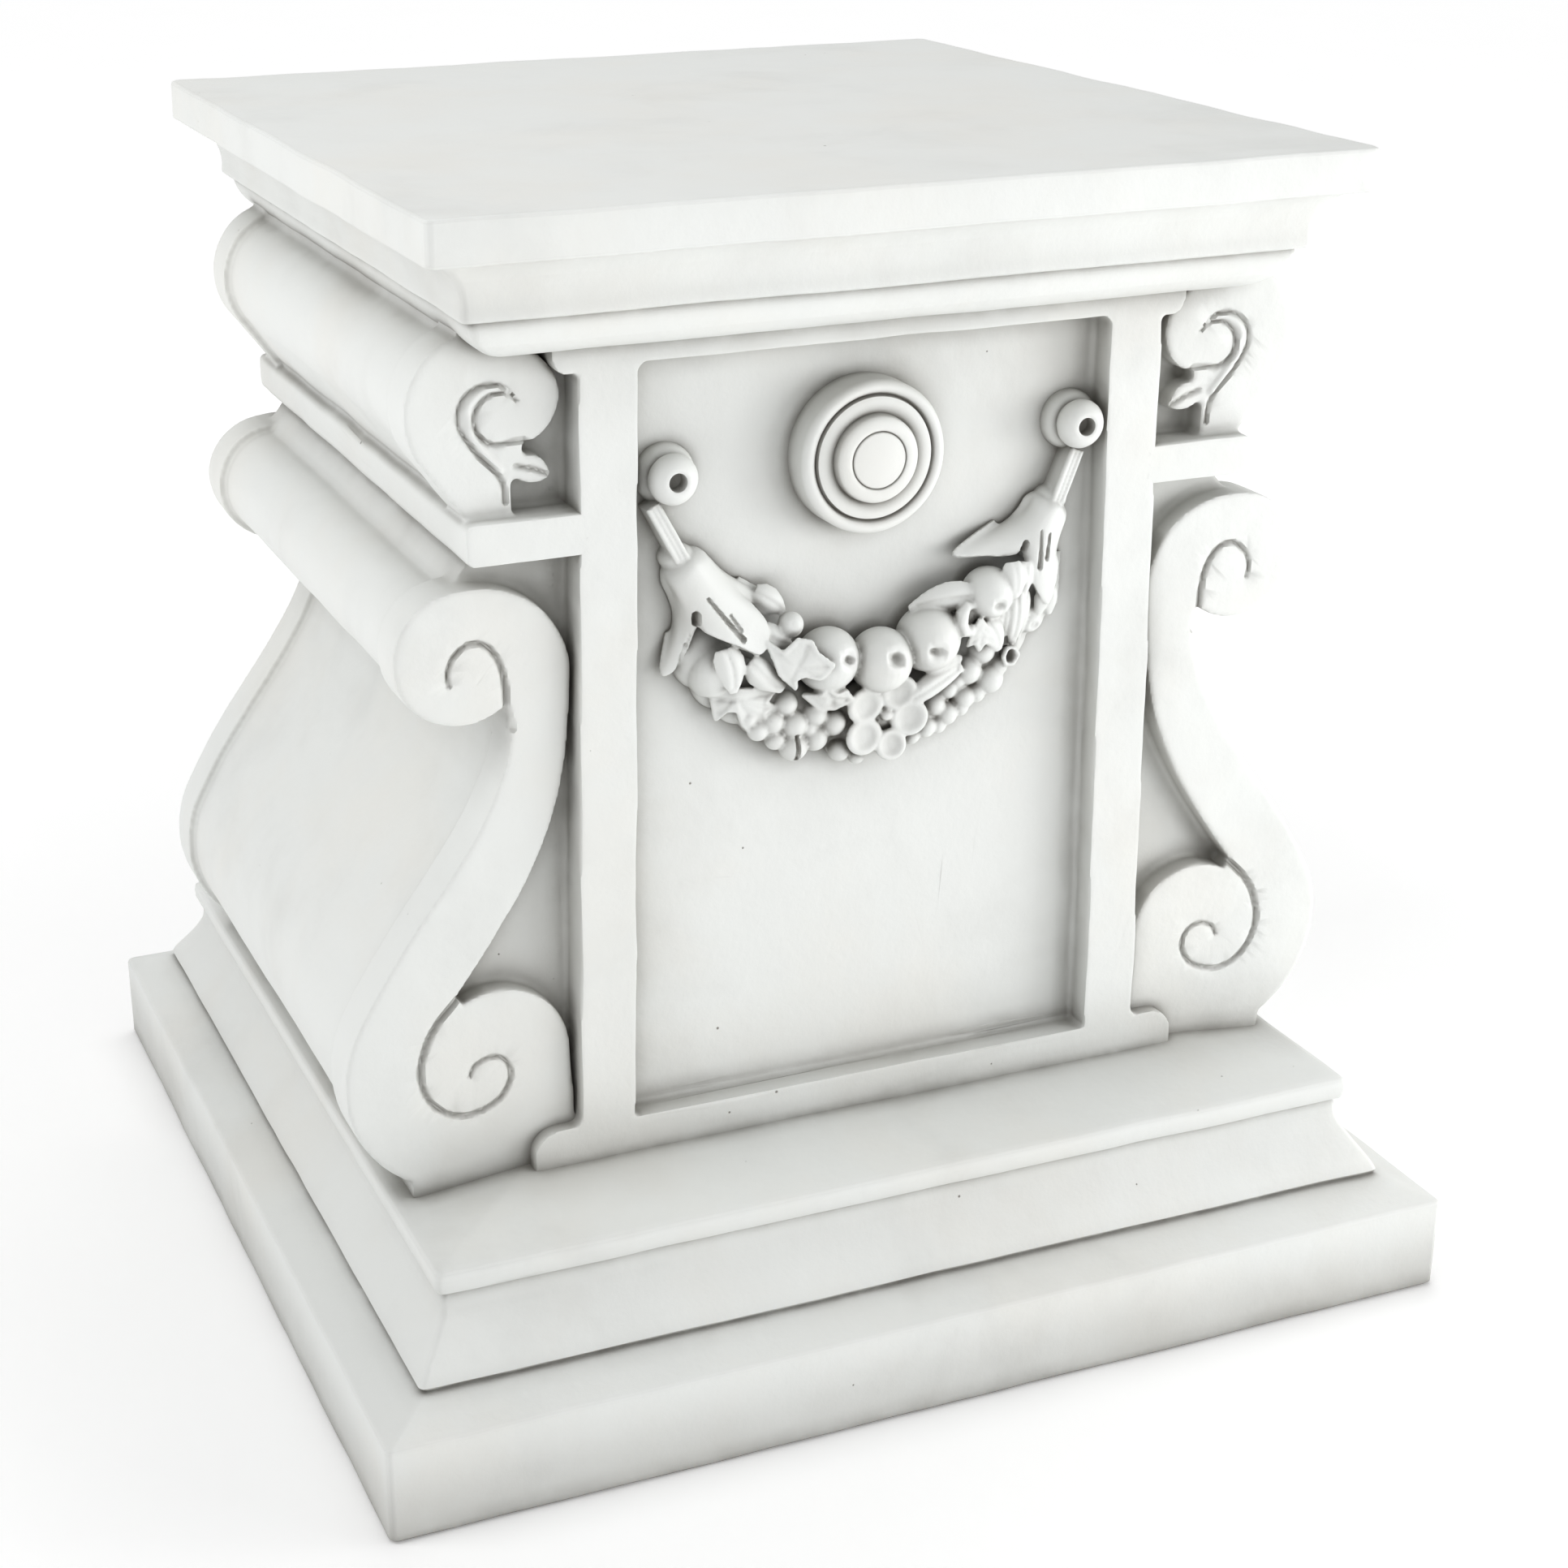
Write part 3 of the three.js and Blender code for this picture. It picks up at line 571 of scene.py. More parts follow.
@dataclass(frozen=True)
class Console:
    """The scrolled side of the block: upper scroll, arm, volute, S-shaped band and curl."""

    name: str
    hand: int
    root: float = 98.0
    inset: float = 2.5
    volute: Place = (140.4, 263.5, 22)
    band: Place = (135.8, 254.8, 31.2)
    ring: Place = (132.2, 124, 24.5)
    bulge: Place = (141.8, 121, 43.4)
    scroll: Place = (130.5, 340.6, 24.8)
    lobe: Place = (120.4, 344, 14.4)
    notch: Point = (124.5, 242.6)

    def lower_edge(self, inset: float) -> list[Point]:
        """Outer edge from the volute's top to the foot, set back by an inset."""
        x, z, radius = self.bulge
        meet = 0.155 * pi
        landing = (x + (radius - inset) * cos(meet), z + (radius - inset) * sin(meet))
        notch = (self.notch[0] - inset, self.notch[1])
        fall = (notch[1] - landing[1]) / 2.2
        return [
            *arc(self.volute[0], self.volute[1], self.volute[2] - inset, 0.49, -0.72, 40),
            *bezier(notch, (notch[0], notch[1] - 0.75 * fall),
                    (landing[0] - fall * sin(meet), landing[1] + fall * cos(meet)),
                    landing, 26),
            *arc(x, z, radius - inset, 0.155, -0.325, 26)[1:],
            (163 - inset, Level.SUNK),
        ]

    def upper_edge(self, inset: float) -> list[Point]:
        """Outer edge from the cornice down to the arm, set back by an inset."""
        x, z, radius = self.scroll
        return [
            (x + radius * cos(0.4 * pi) - inset, Level.SOFFIT),
            *arc(x, z, radius - inset, 0.4, -0.22, 30),
            (137 - inset, Level.ARM_TOP),
            (135 - inset, Level.ARM_TOP - 3),
        ]

    def lower_face(self) -> list[Point]:
        """The S-shaped band with its volute and curl."""
        bx, bz, br = self.band
        rx, rz, rr = self.ring
        beside = PanelFront("frame", -1).half(rz) + 1.4
        left, rise = bx - br, bz - rz
        joint = (rx + 0.58 * rr, rz + rr)
        return [
            *arc(bx, bz, br, 1, 0.46, 24),
            *self.lower_edge(0),
            (self.root, Level.SUNK), (self.root, 95.5), (beside - 1, 96.5), (beside, 99.0),
            *arc(rx, rz, rr, 1, 0.33, 26),
            *bezier(joint, (joint[0] - 0.22 * rise, joint[1] + 0.3 * rise),
                    (left + 0.01 * rise, bz - 0.38 * rise), (left, bz), 26)[:-1],
        ]

    def upper_face(self) -> list[Point]:
        """The scroll's disc with an inner lobe and a sprig that points at the frame."""
        lx, lz, lr = self.lobe
        return [
            (122.2, 305), (122.3, 316), (121.9, 320.6),
            *bezier((120.6, 319.2), (117.5, 316.6), (111, 316.6), (109.4, 319.4), 8),
            *bezier((109.8, 321), (111.5, 325.5), (114.5, 327), (118.1, 326.4), 8),
            (118.3, 328.5), (117.4, 331),
            *arc(lx, lz, lr, -0.62, -1.3, 22),
            (111.5, 355.7), (114.5, 357.8), (114.5, Level.SOFFIT),
            *self.upper_edge(0),
        ]

    def build(self, finish: Finish) -> Piece:
        """Builds the console on the right-hand side and mirrors it for the left."""
        split = Level.ARM_FOOT + 2
        inner, waist, nose, blunt = self.root - 2, 131.0, 136.0, 3
        arm = [
            (self.root, Level.ARM_FOOT), (nose, Level.ARM_FOOT),
            *arc(nose, Level.ARM_FOOT + blunt, blunt, -0.5, 0, 6),
            *arc(nose, Level.ARM_TOP - blunt, blunt, 0, 0.5, 6), (self.root, Level.ARM_TOP),
        ]
        upper = [(inner, Level.SOFFIT), *self.upper_edge(self.inset),
                 (waist, split), (inner, split)]
        lower = [(inner, split), (waist, split), *self.lower_edge(self.inset), (inner, Level.SUNK)]
        cores = ((upper, Face.FIELD), (lower, Face.FIELD), (arm, Face.FRAME))
        parts = [Bench.plate([outline], -face, face) for outline, face in cores]
        for outline in (self.lower_face(), self.upper_face()):
            for ends in ((-Face.SCROLL, -Face.RIM), (Face.RIM, Face.SCROLL)):
                parts.append(Bench.plate([outline], *ends))
        piece = Bench.fuse(parts, grain=0.9, soften=4)
        Bench.respan(piece, reach=100, cuts=19)
        self.carve(piece)
        Bench.thin(piece, 190000)
        if self.hand < 0:
            piece.scale = (-1, 1, 1)
            Bench.settle(piece)
        return Bench.finish(piece, self.name, finish, wobble=1.1)

    def carve(self, piece: Piece) -> None:
        """Cuts the spirals and the curled stem into both faces."""
        volute = [(144.8, 255.4), (145.2, 259.9), (142.7, 265.2), (137.4, 268.4), (131.9, 266.5),
                  (128.1, 260.7), (126.5, 253.3), (126, 246), (124.3, 238.5)]
        curl = [(142.9, 119.4), (140.8, 123), (134.9, 125), (130.2, 122.7), (128.8, 116.7),
                (132.9, 109.5), (141.6, 105.6), (150, 106.6), (157, 113), (159.8, 122.4),
                (158.2, 131), (154, 139.2), (146.4, 147.6)]
        sprig = [(110.5, 319.6), (115, 321.8), (120.5, 323.2)]
        fall = [(138.2, 337.6), (136.6, 333.9), (132.2, 327.5), (126.8, 321.6), (124.8, 317.6),
                (124.4, 312)]
        bead = [*arc(127.1, 338.9, 8.8, 0.78, 0.1, 14),
                (134.5, 334), (129.5, 327.5), (125.5, 322.5)]
        outer = [*arc(128.7, 339.4, 9.7, 0.865, -0.1, 22), *through(fall)[8:]]
        inner = [*arc(125.5, 338.3, 7.9, 0.69, -0.46, 22), (122, 331), (117.4, 331.2)]
        cuts = (
            (through(volute), (0.9, 1.4), 1.8), (through(curl), (0.9, 1.5), 1.8),
            (sprig, (1, 1), 1.2), (bead, (0.9, 1.6), -0.9),
            (outer, (0.8, 1.1), 1.3), (inner, (0.8, 1), 1.2),
        )
        for line, half, depth in cuts:
            Bench.relief(piece, line, half, depth, Face.SCROLL - 4)


@dataclass(frozen=True)
class Leaf:
    """A plain leaf from its root to its tip."""

    root: Point
    tip: Point
    width: float
    lift: Point
    arch: float = 2.4
    bend: float = 0.0
    full: float = 0.7
    hook: float = 0.0
    vein: float = 0.9
    thick: float = 2.4

    def form(self, t: Array, s: Array) -> Sheet:
        """Places of the leaf for shares of its length and of its half width."""
        dx, dz = self.tip[0] - self.root[0], self.tip[1] - self.root[1]
        length = hypot(dx, dz)
        ax, az = dx / length, dz / length
        outline = np.sin(np.pi * np.clip(0.06 + 0.91 * t, 0, 1) ** self.full) ** 0.8
        half = 0.5 * self.width * outline + 0.35
        cross = s * half + self.bend * np.sin(np.pi * t)
        rise = self.arch * (1 - s ** 2) * outline
        crease = self.vein * np.exp(-((s * half / 0.8) ** 2)) * (t < 0.92)
        lift = self.lift[0] + (self.lift[1] - self.lift[0]) * t + rise - crease
        lift = lift - self.hook * np.clip(t - 0.7, 0, 1) ** 2 * 11
        along = t * length
        return (self.root[0] + ax * along - az * cross,
                self.root[1] + az * along + ax * cross, lift)

    def build(self) -> Piece:
        """Bends the sheet."""
        return Bench.drape(self.form, 34, 16, self.thick)


@dataclass(frozen=True)
class Lobed:
    """A lobed leaf, from the middle of its veins to its rolled edge."""

    middle: Place
    edge: tuple[Place, ...]
    veins: tuple[int, ...]
    swell: float = 0.9

    def form(self, t: Array, s: Array) -> Sheet:
        """Places of the sheet for shares of the way out and of the way round."""
        count = len(self.edge)
        turn = (s + 1) / 2 * count
        loop = np.array((*self.edge, self.edge[0]))
        rim = np.stack([np.interp(turn, range(count + 1), loop[:, k]) for k in range(3)], -1)
        gaps = [np.abs((turn - v + count / 2) % count - count / 2) for v in self.veins]
        gap = np.min(gaps, axis=0)
        middle = np.array(self.middle)
        spots = middle + t[:, None] * (rim - middle)
        spread = np.hypot(*(rim - middle)[:, :2].T)
        crease = 0.9 * np.exp(-((gap * t * spread * 0.9) ** 2)) * (t < 0.9) * np.clip(t / 0.1, 0, 1)
        roll = 0.6 * np.exp(-(((t - 0.94) / 0.06) ** 2))
        lift = spots[:, 2] + self.swell * np.sin(np.pi * t) * np.clip(gap, 0, 0.6) + roll - crease
        return spots[:, 0], spots[:, 1], lift

    def build(self) -> Piece:
        """Spreads the sheet."""
        return Bench.drape(self.form, 22, 100, 1.7)


@dataclass(frozen=True)
class Bell:
    """A trumpet flower, half round, from the strap that it hangs on to its scalloped rim."""

    strap: Point
    neck: Place
    body: Place
    rises: Point
    rim: tuple[tuple[float, ...], ...]

    def form(self, t: Array, s: Array) -> Sheet:
        """Places of the trumpet for shares of its length and of its half turn."""
        dx, dz = self.body[0] - self.neck[0], self.body[1] - self.neck[1]
        length = hypot(dx, dz)
        across, out = np.sin(0.5 * np.pi * s), np.cos(0.5 * np.pi * s)
        dome = 0.12 + 0.88 * np.sqrt(np.clip(1 - (1 - np.clip(t / 0.16, 0, 1)) ** 2, 0, 1))

        def ring(place: Place, rise: float, share: Array | float) -> Array:
            """The half ring about one place of the trumpet."""
            side = place[2] * across * share
            return np.stack([place[0] - dz / length * side, place[1] + dx / length * side,
                             0.5 + rise * out * share], -1)

        start, middle = ring(self.neck, self.rises[0], dome), ring(self.body, self.rises[1], 1.0)
        end = flowing(self.rim, s)
        t = t[:, None]
        bend = 2 * middle - (start + end) / 2
        spots = (1 - t) ** 2 * start + 2 * t * (1 - t) * bend + t * t * end
        return spots[:, 0], spots[:, 1], np.maximum(spots[:, 2], 0.3)

    def build(self) -> list[Piece]:
        """Bends the trumpet, fills it and hangs it on its fluted strap."""
        base = -Face.PANEL
        (bx, bz, body), (nx, nz, neck) = self.body, self.neck
        parts = [
            Bench.drape(self.form, 40, 60, 2.2),
            Bench.ball(bx, bz, 1.5, (body - 2.5, self.rises[1] - 2.5, 9.0)),
            Bench.ball(nx, nz, 1.5, (neck - 1.5, self.rises[0] - 2.0, 4.5)),
        ]
        dx, dz = self.neck[0] - self.strap[0], self.neck[1] - self.strap[1]
        length = hypot(dx, dz)
        side = (-dz / length, dx / length)
        for offset, radius in ((-1.6, 0.95), (0.2, 0.8), (1.9, 0.95)):
            ends = [(x + side[0] * offset, base - 7.4, z + side[1] * offset)
                    for x, z in (self.strap, self.neck[:2])]
            parts.append(Bench.tube(ends, (radius, radius)))
        edge = [(x + side[0] * w, z + side[1] * w) for (x, z), w in (
            (self.strap, -2.3), (self.neck[:2], -2.3), (self.neck[:2], 2.5), (self.strap, 2.5))]
        parts.append(Bench.plate([edge], base - 7.0, base + 3))
        return parts


@dataclass(frozen=True)
class Fruit:
    """A round fruit with a dimpled eye that looks outwards and to one side."""

    x: float
    z: float
    lift: float
    radius: float
    eye: Place
    dimple: float

    def build(self) -> list[Piece]:
        """Rounds the fruit and sinks its eye."""
        body = Bench.ball(self.x, self.z, self.lift, (self.radius, self.radius * 0.96, self.radius))
        centre = np.array([self.x, -Face.PANEL - self.lift, self.z])
        look = np.array([self.eye[0], -self.eye[1], self.eye[2]])
        look = look / np.linalg.norm(look)
        out = Bench.read(body) - centre
        facing = (out @ look) / np.linalg.norm(out, axis=1)
        away = np.arccos(np.clip(facing, -1, 1))
        lip = 0.04 * np.exp(-(((away - 0.42) / 0.17) ** 2))
        sink = self.dimple * np.exp(-((away / 0.15) ** 2)) - lip
        Bench.write(body, centre + out * (1 - sink)[:, None])
        nub = centre + look * self.radius * (0.98 - 0.8 * self.dimple)
        core = Bench.ball(nub[0], nub[2], -nub[1] - Face.PANEL, (0.7, 1.3, 0.7))
        return [body, core]


@dataclass(frozen=True)
class Blossom:
    """A flower of cupped round petals about a small boss."""

    x: float
    z: float
    lift: float
    petals: tuple[Place, ...] = (
        (-7.9, 4.6, 6.9), (4.2, 7.4, 6.8), (8.2, -1.8, 6.9), (1.6, -10.4, 5.8), (-8.2, -6.2, 6.9))

    def build(self) -> list[Piece]:
        """Presses each petal to a cup."""
        parts = [Bench.ball(self.x, self.z, self.lift + 0.8, (2.0, 1.6, 2.0))]
        for dx, dz, radius in self.petals:
            x, z = self.x + dx, self.z + dz
            petal = Bench.ball(x, z, self.lift, (radius, 2.0, radius * 0.95))
            places = Bench.read(petal)
            span = np.hypot(places[:, 0] - x, places[:, 2] - z) / radius
            out = (places[:, 0] - self.x) * dx + (places[:, 2] - self.z) * dz
            places[:, 1] += 2.2 * np.exp(-((span / 0.62) ** 4)) - 0.12 * out / hypot(dx, dz)
            Bench.write(petal, places)
            parts.append(petal)
            parts.append(Bench.ball(x, z, self.lift - 5.0, (radius * 0.9, 5.0, radius * 0.9)))
        parts.append(Bench.ball(self.x, self.z, self.lift - 4.5, (7.0, 4.5, 7.0)))
        return parts


@dataclass(frozen=True)
class Festoon:
    """The swag of fruit, flowers and leaves that hangs from the two pegs."""

    bells: tuple[Bell, ...] = (
        Bell((-77.2, 306), (-67.2, 287.4, 7.4), (-58.6, 273.2, 10), (8.6, 10.2), (
            (-1, -70.5, 262, 0), (-0.8, -73.5, 249, 4), (-0.65, -68, 252, 5),
            (-0.5, -63.5, 266, 8), (-0.3, -60.5, 263.5, 11), (-0.05, -51, 258.6, 13),
            (0.15, -42.2, 254.3, 12), (0.4, -39.1, 263.8, 9), (0.55, -44, 270, 6),
            (0.7, -37.8, 264.8, 4), (0.85, -30.4, 267, 3.5), (1, -45, 277.5, 0))),
        Bell((73.6, 308.6), (66.8, 291.4, 7.4), (60.6, 280, 9.4), (8.6, 9.8), (
            (-1, 47, 285.5, 0), (-0.85, 30.6, 278, 4), (-0.6, 41, 275.5, 7),
            (-0.4, 51, 275.5, 8), (-0.3, 54.1, 277.7, 7), (-0.1, 57, 266, 10),
            (0.1, 63, 257.2, 10), (0.35, 67.4, 269.1, 8), (0.5, 68, 272, 5),
            (0.75, 70, 254.2, 3.5), (1, 73, 272, 0))),
    )
    lobed: tuple[Lobed, ...] = (
        Lobed((-49.4, 238.8, 8.6), (
            (-49.8, 242.5, 8.8), (-41.7, 241.7, 8.4), (-34.6, 239.3, 6.4), (-38.1, 236.2, 7.6),
            (-34.2, 233.6, 6.4), (-38.7, 232.5, 7.6), (-37.1, 227.8, 6.2), (-38.4, 223.4, 4.6),
            (-43.5, 226, 6.2), (-46.7, 229.9, 7.2), (-48.6, 234.8, 8), (-51.9, 235.1, 7.2),
            (-55.2, 231.2, 4.6), (-57.2, 240, 5.4)), (2, 4, 7, 12, 13)),
        Lobed((-30.5, 248.9, 14.6), (
            (-18.6, 249.4, 18), (-23.8, 253.6, 16.4), (-25.6, 257.9, 14.8), (-30.1, 258.7, 13.6),
            (-35.3, 254.6, 13.4), (-40.3, 258.5, 10.8), (-38, 252.2, 12.6), (-36, 246.9, 12.8),
            (-29.3, 240.5, 11.2), (-31.2, 244.7, 13.4), (-27.6, 246.2, 14.6), (-22.5, 244.2, 14.8)),
            (0, 2, 5, 8, 11)),
        Lobed((-16.2, 235.9, 11), (
            (-8.4, 233.8, 10.5), (-11.6, 238, 12), (-15, 236.9, 12), (-18.7, 240, 12.2),
            (-20.4, 237, 10.5), (-26.2, 237.4, 8.5), (-20.8, 232.3, 8.6), (-14.4, 230.7, 8.6)),
            (0, 3, 5, 7)),
        Lobed((37.4, 249.6, 12.6), (
            (36.4, 256.8, 13), (40.4, 251.5, 12.6), (42.4, 245.6, 10.6), (39.2, 248, 11.8),
            (37.8, 244.4, 10.4), (35.8, 248, 11.6), (33.4, 246.6, 10.4), (34, 252, 12.4)),
            (2, 4, 6)),
        Lobed((50.3, 240.4, 7.4), (
            (53.4, 240.6, 9.4), (51.6, 243.4, 9.6), (48.8, 243.6, 9.6), (47.4, 240.6, 9.6),
            (48.4, 237.6, 9.2), (51.6, 237.4, 9.2)), (0,), 0),
    )
    leaves: tuple[Leaf, ...] = (
        Leaf((-45.8, 251.8), (-33.2, 240.6), 7.5, (10.6, 9), 2.2, -0.6, vein=1.2),
        Leaf((-54.6, 257.4), (-51.6, 242.6), 8.5, (11, 11.4), 2, 0.8, vein=1),
        Leaf((-41, 272.6), (-31.5, 265.6), 6.5, (3.4, 5), 2, 0.6, vein=0.6),
        Leaf((-40, 261), (-31, 255.5), 6.5, (7.6, 9.4), 2, -0.6, vein=0.8),
        Leaf((35.5, 263.8), (14, 260.4), 8.4, (9.4, 5.4), 2.6, -1.6, 0.62, 0.2, 1),
        Leaf((39.6, 254.6), (45.6, 243.6), 6, (11.4, 9.4), 2, 0.6, vein=1),
        Leaf((50.4, 264), (51.8, 244.2), 5.6, (10.4, 7), 2.4, 0.6, full=0.66, vein=1.4),
        Leaf((54, 262.6), (54.4, 245.2), 4.4, (9, 5.4), 2.2, 0.4, full=0.66, vein=1.2),
        Leaf((46.6, 260.6), (47.4, 247), 5, (9.6, 7.4), 2, 0, full=0.66, vein=1),
        Leaf((48.6, 273.4), (48.9, 262.4), 6.6, (11, 13.4), 2, 0.4, vein=0.5),
        Leaf((54.4, 272.6), (52.8, 261.2), 5.4, (9.4, 10.6), 2, -0.4, vein=0.6),
        Leaf((62, 262), (61.4, 253.4), 3.2, (8.6, 7.4), 1.6, vein=0.4),
        Leaf((65.4, 262), (66, 252.8), 3.4, (7.4, 6.2), 1.6, vein=0.4),
        Leaf((13.4, 230.6), (32, 239.2), 6.6, (9.4, 9.4), 2.2, 0.8, full=0.8, vein=1.3),
        Leaf((20, 240), (31.8, 242.2), 4.4, (9.6, 8.8), 1.8, 0.4, vein=0.8),
    )
    curl: tuple[Place, ...] = (
        (34.8, 261, 12), (31.8, 261.4, 12.4), (30, 258.8, 12.8), (29.6, 255.6, 13),
        (30.8, 252.8, 13), (33.2, 252.2, 12.8), (34.4, 254.4, 12.2))
    fruits: tuple[Fruit, ...] = (
        Fruit(-16.2, 247.6, 7, 10.8, (0.42, 1, 0.2), 0.4),
        Fruit(2.6, 245.2, 8.2, 10.9, (0.14, 1, 0.3), 0.6),
        Fruit(20.6, 250, 7, 11.2, (-0.14, 1, -0.2), 0.45),
        Fruit(41.6, 263.2, 8, 9, (0.12, 1, -0.34), 0.4),
        Fruit(-55.6, 248, 3.2, 9, (-0.2, 0.2, -1), 0.1),
        Fruit(-30, 261.7, 8.4, 4.3, (-0.15, 1, 0.25), 0.36),
        Fruit(59.4, 252, 2.6, 6.4, (0.1, 1, -0.5), 0.3),
    )
    grapes: tuple[tuple[float, float, float], ...] = (
        (-30.7, 234.2, 3.9), (-35.4, 228.4, 3.9), (-27.8, 226.6, 4.6), (-20.4, 229.1, 4.3),
        (-13.4, 225, 4.3), (-20, 220.6, 4.2), (-27.7, 218.8, 4.7), (-11, 214.6, 3.4),
        (-40.4, 226.2, 3.4), (36, 236.4, 4.7), (44.2, 232.3, 4.8), (34.8, 227, 3.7),
        (28.6, 230.9, 3.3), (23.5, 226.2, 3.9), (28.4, 222.2, 3.8), (20.4, 218.8, 3.8),
        (41.2, 242.6, 4.4), (39.6, 227.8, 3), (15.4, 216.2, 3), (-44, 231, 3),
        (47.6, 236.2, 3), (31.8, 233.6, 3.2), (-34.2, 222, 3.2), (-4.6, 211.8, 2.6),
        (25.4, 218.6, 2.8), (33.6, 223.6, 2.8), (-22.6, 224.6, 3.2), (18, 223.6, 3.2),
    )

    def bed(self) -> list[Piece]:
        """A low bank that fills the gaps behind the fruit."""
        line = bezier((-64, 262), (-42, 214), (34, 210), (66, 266), 15)
        return [Bench.ball(x, z, 0, (10, 6.6, 11.5)) for x, z in line[1:-1]]

    def build(self, finish: Finish) -> Piece:
        """Models everything on the swag and melts it into one relief."""
        parts = self.bed()
        for bell in self.bells:
            parts += bell.build()
        parts += [leaf.build() for leaf in (*self.leaves, *self.lobed)]
        rolled = [(x, -Face.PANEL - lift, z) for x, z, lift in self.curl]
        parts.append(Bench.tube(rolled, (1.3, 2.0, 2.4, 2.5, 2.4, 2.0, 1.4)))
        parts.append(Bench.ball(33.6, 257.0, 6.0, (4.5, 5.4, 5.5)))
        for fruit in self.fruits:
            parts += fruit.build()
        for x, z, radius in self.grapes:
            parts.append(Bench.ball(x, z, 6.0, (radius + 0.4,) * 3))
            parts.append(Bench.ball(x, z, 1.5, (radius * 0.85, 4.0, radius * 0.85)))
        parts += Blossom(4.4, 226.0, 9.0).build()
        piece = Bench.fuse(parts, grain=0.5, soften=1)
        grooves = (
            ([(-59.9, 274.8), (-53.4, 266.2), (-48.4, 260.1)], (0.7, 1.1), 1.6),
            ([(-52.5, 268.5), (-49.1, 263.2)], (0.6, 0.8), 1),
            ([(59.7, 282.8), (59.3, 270.5)], (0.6, 1), 1.5),
            ([(62.8, 281.5), (61.9, 273.3)], (0.6, 0.9), 1.3),
            ([(-63.4, 269.6), (-63.2, 266.8)], (1.3, 1.3), 3.5),
            ([(54.6, 279), (54.1, 277)], (1.1, 1.1), 3),
            ([(-27.8, 223.4), (-27.6, 215.4)], (0.7, 1), 1.8),
            ([(50.3, 241.6), (50.2, 239.6)], (1.5, 1.5), 3),
        )
        for line, half, depth in grooves:
            Bench.relief(piece, line, half, depth, behind=Face.PANEL + 3, sides=(-1,))
        Bench.thin(piece, 190000)
        return Bench.finish(piece, "festoon", finish, wobble=0.4)


class Socket:
    """A shader value with arithmetic."""

    def __init__(self, paint: "Paint", out: bpy.types.NodeSocket) -> None:
        """Wraps an output of a node in a finish."""
        self.paint, self.out = paint, out

    def _with(self, operation: str, *others: "Socket | float") -> "Socket":
        """A Math node on this value and others."""
        return self.paint.node("ShaderNodeMath", {"operation": operation},
                               dict(enumerate((self, *others))))

    def __add__(self, other: "Socket | float") -> "Socket":
        """The sum."""
        return self._with("ADD", other)

    def __mul__(self, other: "Socket | float") -> "Socket":
        """The product."""
        return self._with("MULTIPLY", other)

    def __sub__(self, other: "Socket | float") -> "Socket":
        """The difference."""
        return self._with("SUBTRACT", other)

    def __rsub__(self, other: float) -> "Socket":
        """A number less this value."""
        return self.paint.node("ShaderNodeMath", {"operation": "SUBTRACT"}, {0: other, 1: self})

    __radd__ = __add__

    def band(self, low: float, high: float) -> "Socket":
        """0 below low, 1 above high, and smooth between; high may be the lower one."""
        return self.paint.node(
            "ShaderNodeMapRange", {"interpolation_type": "SMOOTHSTEP", "clamp": True},
            {0: self, 1: low, 2: high, 3: 0.0, 4: 1.0})


